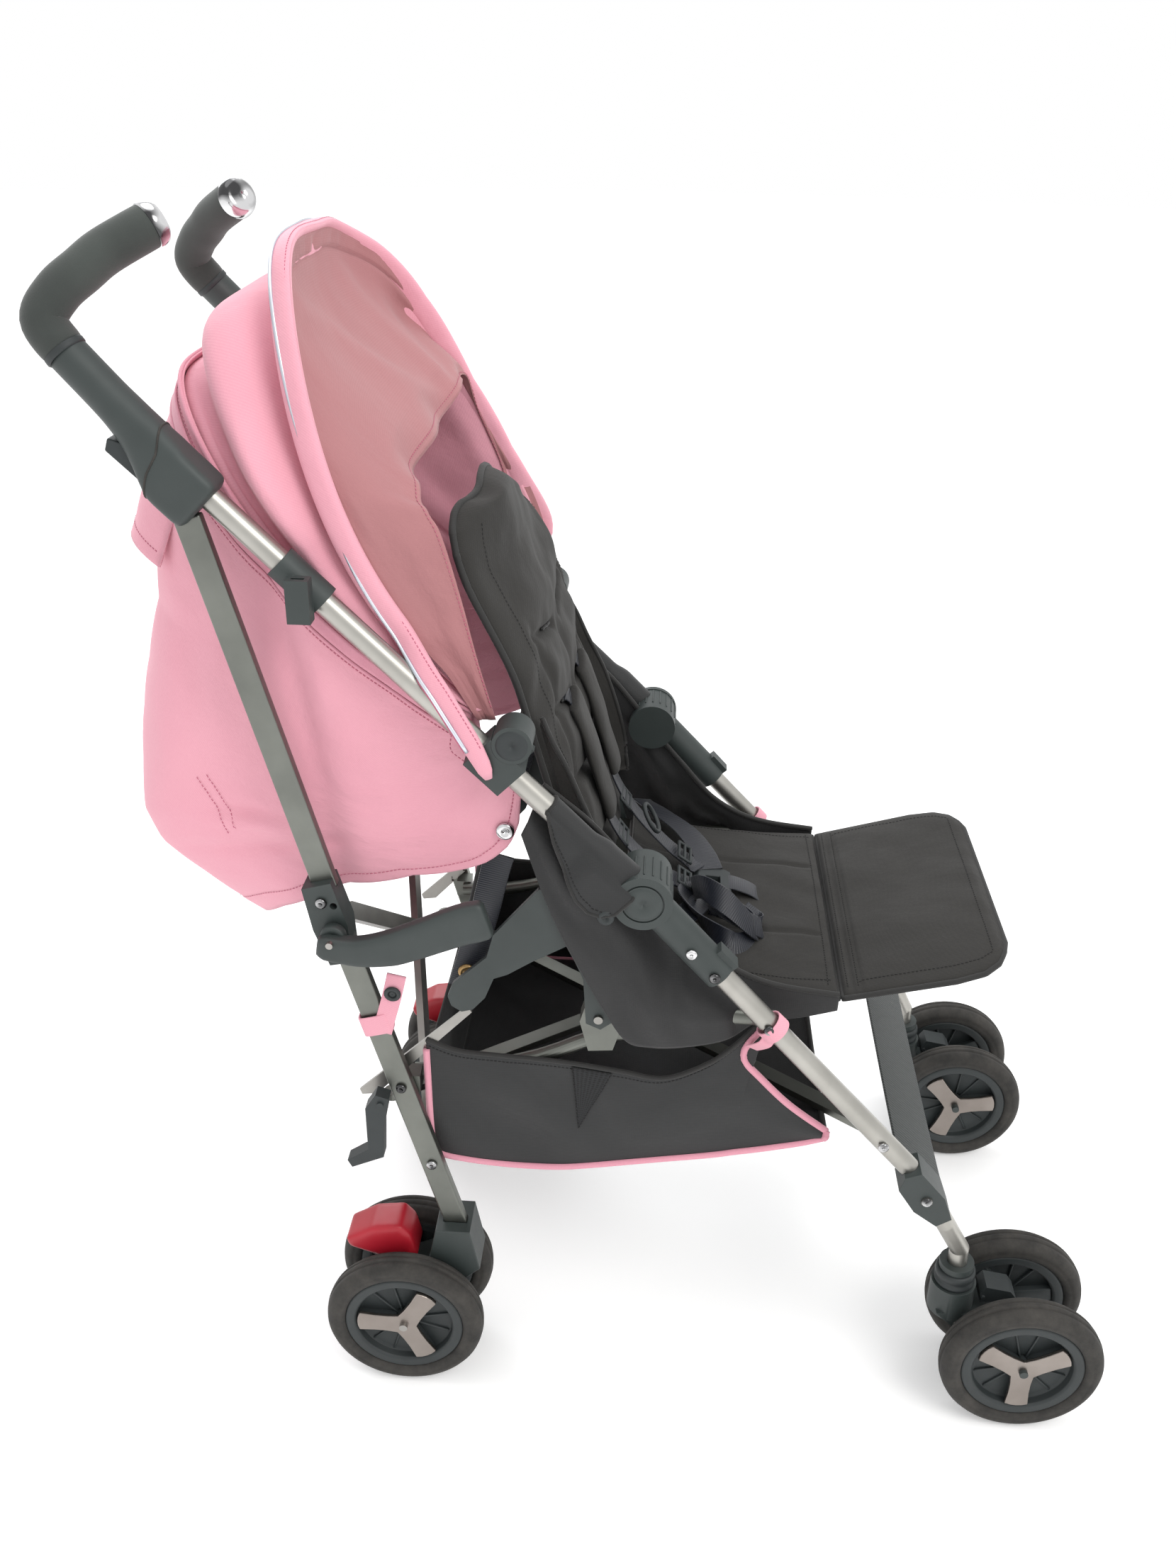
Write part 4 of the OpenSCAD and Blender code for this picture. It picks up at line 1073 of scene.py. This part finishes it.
def backrest():
    u, v = np.linspace(-1, 1, 131)[:, None], np.linspace(0, 1, 181)[None]
    t = 405 * v + 0 * u
    x = u * table(t, BACK_HALF)
    full = fullness(u, v, 4, 0.05, 0.955)
    relief = 0 * t
    for high in SLOTS + (122, 52):  # sewn lines that rise to each side, and the soft pads between them
        at = high - 14 + 22 * np.abs(x) / 90
        relief -= 6.5 * bell(t, at, 5.0) * smooth(112, 92, np.abs(x)) * smooth(8, 22, np.abs(x))
        relief += 4.2 * bell(t, at + 34, 20) * smooth(120, 80, np.abs(x))
    relief -= 3.6 * bell(np.abs(x), 98 + 5 * np.sin(t / 40), 5) * smooth(300, 260, t) * smooth(15, 40, t)
    relief -= 2.4 * bell(x, 0, 7) * smooth(270, 230, t)
    sides = smooth(62, 90, np.abs(x))
    gathers = 2.4 * np.sin(t / 8.5 + np.abs(x) / 13 + 1.4 * ripple(x / 30, t / 60, 2)) * smooth(300, 240, t)
    relief += sides * gathers * (0.45 + 0.55 * smooth(90, 130, np.abs(x)))
    relief += 2.0 * ripple(x / 34, t / 40, 11) + 1.2 * ripple(x / 13, t / 17, 12)
    relief += 3.0 * smooth(325, 345, t) * ripple(x / 30, t / 18, 13)
    # The headrest's corners have slumped back, and its left one down as well
    left, right = smooth(-30, 115, x) * smooth(270, 385, t), smooth(-50, -130, x) * smooth(240, 370, t)
    back_off = 13 * left + 17 * right
    t_new = t - 11 * v - 42 * left * smooth(300, 400, t) - 9 * bell(x, -72, 26) * smooth(385, 405, t)
    front = in_back(x, t_new, 5 + 19 * full + relief * full - back_off)
    back = in_back(x, t_new, 0.6 + 2.5 * (1 - full) - back_off)
    body = "backrest"
    lift = BACK_OUT * 0.4
    made = [pad("backrest_cushion", front, back, "charcoal", body)]
    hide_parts("backrest_pad")
    edge = rim((front + back) / 2)
    made.append(piping("backrest_piping", edge, 3.0, "charcoal_trim", body, True))
    n = np.broadcast_to(BACK_OUT, front.shape)
    for k, i in enumerate((12, 118)):
        made.append(stitches(f"backrest_stitches_{k}", front[i, 6:-12] + lift, n[i, 6:-12], "charcoal_thread",
                             body))
    for s, word in SIDES:
        for k, high in enumerate(SLOTS):  # a slit with a bound edge for each strap
            x = np.linspace(26, 62, 12)
            spots = in_back(s * x, high - 14 + 22 * x / 90, 0)
            gaps = ((front[None] - spots[:, None, None]) ** 2)[..., [0, 2]].sum(-1).reshape(len(x), -1)
            line = front.reshape(-1, 3)[gaps.argmin(1)] + BACK_OUT * 1.4
            made.append(piping(f"harness_slot_{word}_{k}", line, 1.7, "charcoal_thread", body))
            made.append(stitches(f"harness_slot_stitches_{word}_{k}", line + BACK_UP * 5 + BACK_OUT * 1.2,
                                 BACK_OUT, "charcoal_thread", body))
    for s, word in SIDES:  # narrow gathered gussets along the lower edges
        a = spline(in_back((139, 141, 142, 142), (16, 60, 120, 205), (12, 12, 12, 13)), 60)
        b = spline(in_back((144, 148, 149, 145), (12, 60, 120, 212), (26, 33, 31, 16)), 60)
        w = np.linspace(0, 1, 14)[:, None, None]
        mid = (a * (1 - w) + b * w) * arr([s, 1, 1])
        wave = 2.6 * np.sin(np.arange(61) / 2.6 + 2 * np.sin(np.arange(61) / 9))[None] * w[..., 0]
        mid = mid + arr([s, 0, 0]) * wave[..., None] * 0.7
        wall = cloth(f"backrest_side_{word}", mid, 2.2, "charcoal", body)
        made += [wall, piping(f"backrest_side_binding_{word}", mid[-1], 2.2, "charcoal_trim", body)]
    crumple(*made)


def seat():
    body = "seat_base"
    over = spline([(-182, 430), (-150, 432), (-120, 434), (-65, 440), (-10, 448), (10, 459)], 90)
    under = spline([(-182, 415), (-150, 405), (-110, 397), (-60, 391), (-32, 388), (12, 402)], 90)
    u = np.linspace(-1, 1, 121)[:, None]
    v = np.linspace(0, 1, 91)[None]
    full = fullness(u, v, 5, 0.03, 0.95)
    x = u * 146 + 0 * v
    y, z = over[None, :, 0] + 0 * u, over[None, :, 1] + 0 * u
    relief = 4 + 2.0 * ripple(x / 40, y / 30, 21) + 1.3 * ripple(x / 15, y / 16, 22)
    relief -= 3.0 * bell(np.abs(x), 62, 3.4) * smooth(0.05, 0.1, v)
    relief -= 5.0 * bell(y, -72, 26) * bell(x, 0, 55)
    low_y, low_z = under[None, :, 0] + 0 * u, under[None, :, 1] + 0 * u
    middle = (z + low_z) / 2
    front = np.stack([x, y, middle + (z - middle) * (0.35 + 0.65 * full) + relief * full], -1)
    back = np.stack([x, low_y * 0.5 + y * 0.5, middle + (low_z - middle) * (0.35 + 0.65 * full)], -1)
    cushion = pad("seat_cushion", front, back, "charcoal", body)
    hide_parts("seat_pad")
    made = [cushion, piping("seat_piping", rim((front + back) / 2), 2.8, "charcoal_trim", body, True)]
    n = np.broadcast_to(arr([0, 0, 1]), front.shape)
    for k, i in enumerate((7, 113)):
        made.append(stitches(f"seat_stitches_{k}", front[i, 5:-5] + (0, 0, 0.4), n[i, 5:-5],
                             "charcoal_thread", body))
    made.append(stitches("seat_front_stitches", front[5:-5, 6] + (0, 0, 0.4), n[5:-5, 6], "charcoal_thread",
                         body))

    # Wings from the seat's edges up to the push tubes; behind, they hang outside the rails and recline arms
    upper = spline([(150, -182, 430), (150, -120, 439), (151, -75, 462), (153, -40, 500), (153, -8, 538),
                    (156, 17, 570), (157, 44, 600), (157, 80, 630)], 90)
    lower = spline([(149, -182, 413), (150, -150, 404), (153, -112, 398), (176, -84, 395), (180, -50, 388),
                    (181, -18, 386), (181.5, 4, 392), (182, 24, 424), (182, 42, 459), (182, 59, 494),
                    (181, 77, 538), (177, 96, 594)], 90)
    for s, word in SIDES:
        w = np.linspace(0, 1, 40)[:, None]
        mid = lower[None] * (1 - w[..., None]) + upper[None] * w[..., None]
        share = smooth(0.85, 0.3, w)
        x, y, z = upper[None, :, 0] * (1 - share) + lower[None, :, 0] * share, mid[..., 1], mid[..., 2]
        drape = np.sin(w * math.pi)
        creases = 4.4 + 4.4 * np.sin((0.9 * y - 0.42 * z) / 6.4 + 1.8 * ripple(y / 34, z / 46, 32))
        x = x + drape * (1.6 * ripple(y / 26, z / 34, 31) + creases * smooth(-75, -20, y))
        mid = np.stack([s * x, y, z], -1)
        wing = cloth(f"seat_side_{word}", mid, 2.0, "nylon", body)
        made += [wing, piping(f"seat_side_binding_{word}", mid[-1], 2.6, "charcoal_trim", body),
                 stitches(f"seat_side_stitches_{word}", mid[-3] + arr([s * 1.3, 0, 0]), (s, 0, 0),
                          "charcoal_thread", body)]
    crumple(*made)


CALF_OUT, CALF_UP = arr([0, -0.9636, 0.2672]), arr([0, 0.2672, 0.9636])


def calf_rest():
    u, v = np.linspace(-1, 1, 121)[:, None], np.linspace(0, 1, 81)[None]
    t = -4 + 149 * v + 0 * u
    x = u * table(t, [(-4, 146), (95, 149), (120, 145), (134, 134), (141, 120), (145, 104)])
    full = fullness(u, v, 5, 0.025, 0.93)
    relief = 1.8 * ripple(x / 46, t / 30, 41) + 0.9 * ripple(x / 17, t / 13, 42)
    relief -= 3.2 * bell(t, 6, 2.4) + 2.6 * bell(t, 13, 2.0)
    relief -= 2.6 * bell(np.hypot((x - 40) / 30, (t - 80) / 16), 0, 1)
    relief += 2.2 * bell(np.hypot((x + 62) / 26, (t - 60) / 20), 0, 1)
    base = arr([0, -191, 424]) + t[..., None] * CALF_OUT + x[..., None] * arr([1, 0, 0])
    front = base + CALF_UP * (2 + 7.5 * full + relief * full)[..., None]
    back = base - CALF_UP * (1.5 + 6 * full)[..., None]
    body = "calf_rest"
    cushion = pad("calf_cushion", front, back, "charcoal", body)
    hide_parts("calf_rest_pad")
    n = np.broadcast_to(CALF_UP, front.shape)
    made = [cushion, piping("calf_piping", rim((front + back) / 2), 2.8, "charcoal_trim", body, True),
            stitches("calf_hem_stitches", front[7:-7, -8] + CALF_UP * 0.4, n[7:-7, -8], "charcoal_thread",
                     body)]
    for k, j in enumerate((3, 8)):
        made.append(stitches(f"calf_seam_stitches_{k}", front[4:-4, j] + CALF_UP * 0.4, n[4:-4, j],
                             "charcoal_thread", body))
    for k, i in enumerate((6, 114)):
        made.append(stitches(f"calf_side_stitches_{k}", front[i, 9:-8] + CALF_UP * 0.4, n[i, 9:-8],
                             "charcoal_thread", body))
    crumple(*made)


def tube_flaps():
    """Cloth wrapped over each push tube just above the hub and closed with a snap."""
    for s, word in SIDES:
        d = np.linspace(10, 112, 52)
        low = table(d, [(10, -22), (16, -32), (26, -38), (40, -37), (58, -30), (74, -22), (90, -14),
                        (104, -5), (112, 1)])
        rows = []
        for k, dist in enumerate(d):
            axis = HUB + dist * PUSH
            reach = 10.4 + 3.6 * (1 - smooth(50, 70, dist))
            around = [(-reach * math.cos(a), reach * math.sin(a))
                      for a in np.radians(np.linspace(0, 180, 15))]
            wave = 0.8 * math.sin(dist / 6)
            fall = [(reach + 2.2 + wave * q + 2.6 * (1 - smooth(50, 70, dist)), low[k] * q)
                    for q in np.linspace(0.12, 1, 12)]
            inside = [(-reach - 0.6, -11 * q) for q in np.linspace(1, 0.15, 5)]
            rows.append([axis + arr([a, 0, 0]) + PUSH_OUT * b for a, b in inside + around + fall])
        mid = arr(rows) * arr([s, 1, 1])
        mid = mid + arr([s, 0, 0]) * (0.7 * ripple(mid[..., 1] / 12, mid[..., 2] / 15, 51))[..., None]
        side = "side_" + word
        cloth(f"tube_flap_{word}", mid, 1.8, "dark_nylon", side)
        border = np.r_[mid[0], mid[1:, -1], mid[-1, -2::-1]]
        piping(f"tube_flap_binding_{word}", border, 1.7, "charcoal_trim", side)
        stitches(f"tube_flap_stitches_{word}", mid[2:-2, -3] + arr([s * 1.2, 0, 0]), (s, 0, 0),
                 "charcoal_thread", side)
        snap = [(0, 0.8), (2.4, 0.9), (3, 2.0), (5, 2.2), (6.6, 1.3), (7.2, 0), (7.2, -1.2), (0, -1.2)]
        turned(f"tube_flap_snap_{word}", snap, (s * 199.2, 24, 531), "plastic_dark", side, axis=(s, 0, 0))


def ribbon(name, points, body, side=(1, 0, 0)):
    """A strap of webbing along a smooth line; side is the direction across it."""
    return sweep(name, spline(points, 60), strap_section(STRAP_WIDE, STRAP_THICK), "webbing", body, side)


def harness():
    body = "seat_base"
    made = []
    for s, word in SIDES:
        x = 44 * s
        straps = ribbon(f"shoulder_strap_{word}",
                        [in_back(x, 189, 19), in_back(x, 176, 27), in_back(x, 110, 28),
                         in_back(0.95 * x, 62, 29), (37 * s, 8, 508), (30 * s, -24, 475), (21 * s, -50, 458),
                         (15 * s, -60, 455)],
                        body)
        line = spline(in_back((x, x, x, 0.97 * x), (184, 150, 105, 64), (27, 31, 32, 32)), 50)
        along = np.arange(len(line))
        line[:, 0] += 1.5 * np.sin(along / 6)
        ends = table(along / 50, [(0, 0.7), (0.03, 0.95), (0.1, 1), (0.9, 1), (0.97, 0.95), (1, 0.7)])
        puffy = ends * (1 + 0.1 * np.sin(along / 3.1))
        sleeve = sweep(f"shoulder_pad_{word}", line, squarish(23, 5.2, 28, 0.6), "charcoal", body,
                       scale=np.c_[ends, puffy])
        waist = ribbon(f"waist_strap_{word}", [(140 * s, 2, 462), (118 * s, -14, 463), (80 * s, -44, 461),
                                               (44 * s, -62, 457), (17 * s, -70, 453)], body,
                       side=(0.35 * s, 0.75, 0.1))
        adjuster = []
        for place, lean in (((35 * s, 16, 520), (0, 0.6, 0.8)), ((24 * s, -44, 467), (0, 0.82, 0.57))):
            along, wide, wire = unit(lean), arr([1, 0, 0]), oval(1.6, 1.6, 10)
            for a in (-7, 0, 7):
                bar = [arr(place) + along * a + wide * e for e in (-14, -7, 7, 14)]
                adjuster.append(swept(bar, wire, side=(0, 0, 1)))
            for e in (-14, 14):
                bar = [arr(place) + along * a + wide * e for a in (-8, -3, 3, 8)]
                adjuster.append(swept(bar, wire, side=(0, 0.3, 1)))
        slides = build(f"strap_slides_{word}", *join_parts(adjuster), "plastic_dark", body)
        made += [straps, sleeve, waist, slides]
        if s > 0:
            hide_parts("harness")
    ring = circle_line((10, -10, 512), 14.5, (1, 0, 0), unit((0, 0.5, 0.86)), 36)
    made.append(sweep("strap_ring", ring, oval(2.2, 2.2, 12), "plastic_dark", body, (0, 0.86, -0.5),
                      closed=True))
    made.append(ribbon("crotch_strap",
                       [(0, -117, 437), (0, -112, 441), (0, -104, 445), (0, -92, 449), (0, -84, 449)], body))
    for k, (across, points) in enumerate((
            ((0.5, 0.2, 0.6), [(-34, -58, 453), (-48, -52, 470), (-66, -62, 482), (-80, -84, 474),
                               (-80, -108, 450), (-64, -108, 443),
             (-47, -88, 448), (-42, -70, 451)]),
            ((0.6, 0.1, 0.4), [(-36, -66, 456), (-52, -66, 465), (-70, -78, 467), (-78, -98, 458),
                               (-70, -116, 444), (-56, -112, 441),
             (-44, -98, 446)]),
            ((0.3, 0.5, 0.6), [(-30, -62, 455), (-44, -46, 462), (-64, -46, 464), (-88, -62, 458),
                               (-100, -86, 446), (-90, -104, 441),
             (-72, -112, 440)]))):
        made.append(sweep(f"strap_tail_{k}", spline(points, 60), strap_section(22, 1.6), "webbing", body,
                          across))
    crumple(*made)


# ---------- basket, foot strap and ties ----------
BASKET_HALF = 171.5  # half width of the floor and back
# Outlines of the basket's side from behind to the front, as (y, z)
BASKET_RIM = [(184, 374), (156, 363), (120, 360), (84, 358), (50, 355), (8, 349), (-32, 344), (-70, 363),
              (-92, 384), (-112, 409), (-122, 415), (-104, 388), (-102, 370), (-118, 350), (-146, 321),
              (-182, 293)]
BASKET_LOW = [(182, 250), (174, 240), (150, 235), (120, 232), (90, 231), (60, 232), (28, 237), (-4, 243),
              (-36, 249), (-64, 254), (-84, 258), (-100, 262), (-118, 266), (-138, 271), (-160, 277),
              (-180, 284)]


def basket():
    body = "seat_base"
    made = []
    high, low = spline(BASKET_RIM, 150), spline(BASKET_LOW, 150)
    w = np.linspace(0, 1, 46)[:, None, None]
    for s, word in SIDES:
        yz = low[None] * (1 - w) + high[None] * w
        y, z = yz[..., 0], yz[..., 1]
        bulge = np.sin(w[..., 0] * math.pi)
        x = 171 + 1.5 * bulge + 2.4 * ripple(y / 44, z / 30, 61) * bulge
        x += 2.2 * bulge * np.sin((y - 0.9 * z) / 17) * smooth(-20, 60, y)
        x += 1.6 * np.sin(y / 13) * smooth(0.6, 1, w[..., 0]) * bulge
        x = np.minimum(x, 176.5)
        mid = np.stack([s * x, y, z], -1)
        wall = cloth(f"basket_side_{word}", mid, 1.6, "dark_nylon", body)
        made.append(wall)
        if s > 0:
            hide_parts("basket")
        made.append(piping(f"basket_rim_{word}", mid[-1, :100], 2.4, "charcoal_trim", body))
        made.append(piping(f"basket_front_piping_{word}", mid[-1, 97:] + arr([s * 0.6, 0, 0]), 3.2,
                           "pink_trim", body))
        made.append(stitches(f"basket_rim_stitches_{word}", mid[-3] + arr([s * 1.1, 0, 0]), (s, 0, 0),
                             "charcoal_thread", body))
        edge = np.r_[mid[::-1, 0][4:], mid[0, 1:], mid[1:-2, -1]]
        made.append(piping(f"basket_piping_{word}", edge + arr([s * 0.8, 0, 1.0]), 3.3, "pink_trim", body))
        a, b, c = arr([(0, 52, 352.5), (0, 16, 347.5), (0, 45, 283)])  # the net's corners
        uu, vv = np.linspace(0, 1, 16)[:, None, None], np.linspace(0.02, 1, 16)[None, :, None]
        tri = c * (1 - vv) + (a * (1 - uu) + b * uu) * vv
        gaps = ((mid[None, None, ..., 1:] - tri[:, :, None, None, 1:]) ** 2).sum(-1)
        tri[..., 0] = mid.reshape(-1, 3)[gaps.reshape(16, 16, -1).argmin(-1), 0] + s * 1.7
        made.append(cloth(f"basket_net_{word}", tri, 0.8, "net", body))
        made.append(stitches(f"basket_net_stitches_{word}",
                             np.r_[tri[0], tri[-1, ::-1]] + arr([s * 0.5, 0, 0]), (s, 0, 0),
                             "charcoal_thread", body))
    # Floor with a gentle sag, running up the front
    floor_yz = spline([(176, 244), (172, 240)] + BASKET_LOW[2:-1] + [(-181, 288)], 110)
    u = np.linspace(-1, 1, 61)[None]
    y, z = floor_yz[:, :1] + 0 * u, floor_yz[:, 1:] + 0 * u
    sag = (1 - u**2) * (-5.5 + 2.2 * ripple(u * 5, y / 40, 62))
    mid = np.stack([BASKET_HALF * u + 0 * y, y, z + sag * bell(y, 20, 170)], -1)
    made.append(cloth("basket_floor", mid, 1.6, "dark_nylon", body))
    w = np.linspace(0, 1, 40)[:, None]
    x = BASKET_HALF * u + 0 * w
    middle, belly = np.cos(u * math.pi / 2), np.sin(w * math.pi)
    z = 242 + (124 - 10 * middle) * w
    y = 176 + 3 * w + 4 * belly * middle + 2.4 * ripple(x / 40, z / 34, 63) * belly
    mid = np.stack([x, y, z], -1)
    made.append(cloth("basket_back", mid, 1.6, "dark_nylon", body))
    made.append(piping("basket_back_rim", mid[-1], 2.4, "charcoal_trim", body))
    front = np.stack([BASKET_HALF * u[0], -181 + 2 * middle[0], 289 - 4 * middle[0]], 1)
    made.append(piping("basket_front_binding", front, 2.6, "charcoal_trim", body))
    crumple(*made)

    for s, word in SIDES:
        side = "side_" + word
        spot = HUB + (HUB[2] - 419) / -LEG[2] * LEG
        ring = circle_line((s * spot[0], spot[1], spot[2]), 12.4, (1, 0, 0), (0, 0.72, -0.69), 40)
        sweep(f"front_tie_{word}", ring, strap_section(13, 1.6), "pink", side, (0, 0.69, 0.72), closed=True)
        tail = spline([(s * 192, -120, 412), (s * 191, -117, 404), (s * 185, -112, 396),
                       (s * 177, -107, 388)], 14)
        sweep(f"front_tie_tail_{word}", tail, strap_section(12, 1.4), "pink", side, (0, 0.8, 0.3))
        tilt = arr([0, math.sin(REAR_LEAN), math.cos(REAR_LEAN)])
        heart = arr([s * 184.5, 152 + (402 - 140) * math.tan(REAR_LEAN), 402])
        across = arr([0, math.cos(REAR_LEAN), -math.sin(REAR_LEAN)])
        band = heart + squarish(7.2, 12.6, 40, 0.35, 0.35) @ arr([(1, 0, 0), across])
        sweep(f"rear_tie_{word}", band, strap_section(20, 1.6), "pink", side, tilt, closed=True)
        tab = spline([(s * 189.5, 219, 394), (s * 190.5, 215, 410), (s * 189, 209, 432),
                      (s * 186.5, 204, 454)], 18)
        sweep(f"rear_tie_tab_{word}", tab, strap_section(17, 1.4), "pink", side, (0, 0.9, 0.35))
        eye = (s * 190.2, 208, 436)
        eyelet = [(3.6, 0.3), (4.2, 1.6), (6.2, 1.8), (7.4, 0.4), (7.4, -0.6), (3.6, -0.6)]
        turned(f"rear_tie_eyelet_{word}", eyelet, eye, "plastic_dark", side, axis=(s, 0, 0))
        turned(f"rear_tie_eye_{word}", [(0, 0.4), (3.6, 0.4), (3.6, -0.4), (0, -0.4)],
               eye, "plastic_dark", side, axis=(s, 0, 0))


def foot_strap():
    u = np.linspace(-1, 1, 81)
    sag = 3.5 * (1 - u**2)
    line = np.stack([175 * u, -274.5 + 0 * u, 241.2 - sag], 1)
    strap = sweep("foot_strap_webbing", line, strap_section(64, 2.6), "foot_strap", "seat_base",
                  (0, 0.74, 0.67))
    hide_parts("foot_strap")
    made = [strap]
    for s, word in SIDES:
        for k, off in enumerate((2, 9)):
            row = arr([[s * (172 - off), -274.5 + 0.74 * b, 241.2 + 0.67 * b + 1.0]
                       for b in np.linspace(-28, 28, 12)])
            row = row + arr([0, -0.67, 0.74]) * 1.2
            made.append(stitches(f"foot_strap_stitches_{word}_{k}", row, (0, -0.67, 0.74), "charcoal_thread",
                                 "seat_base"))
    crumple(*made)


def recline_straps():
    made = []
    for s, word in SIDES:
        made.append(ribbon(f"recline_strap_{word}",
                           [(157 * s, 116, 562), (157 * s, 121, 544), (157.5 * s, 130, 505),
                                                     (157.5 * s, 142, 460), (157.5 * s, 152, 424)],
                           "backrest", side=(0, 0.95, 0.3)))
        snap = [(0, 0.8), (2.6, 0.9), (3.2, 2.2), (5.6, 2.4), (7.6, 1.3), (8.2, 0), (8.2, -1.2), (0, -1.2)]
        made.append(turned(f"recline_snap_{word}", snap, (s * 158.8, 147, 441), "brass", "backrest",
                           axis=(s, 0, 0)))
    crumple(*made)


backrest()
seat()
calf_rest()
tube_flaps()
harness()
basket()
foot_strap()
recline_straps()
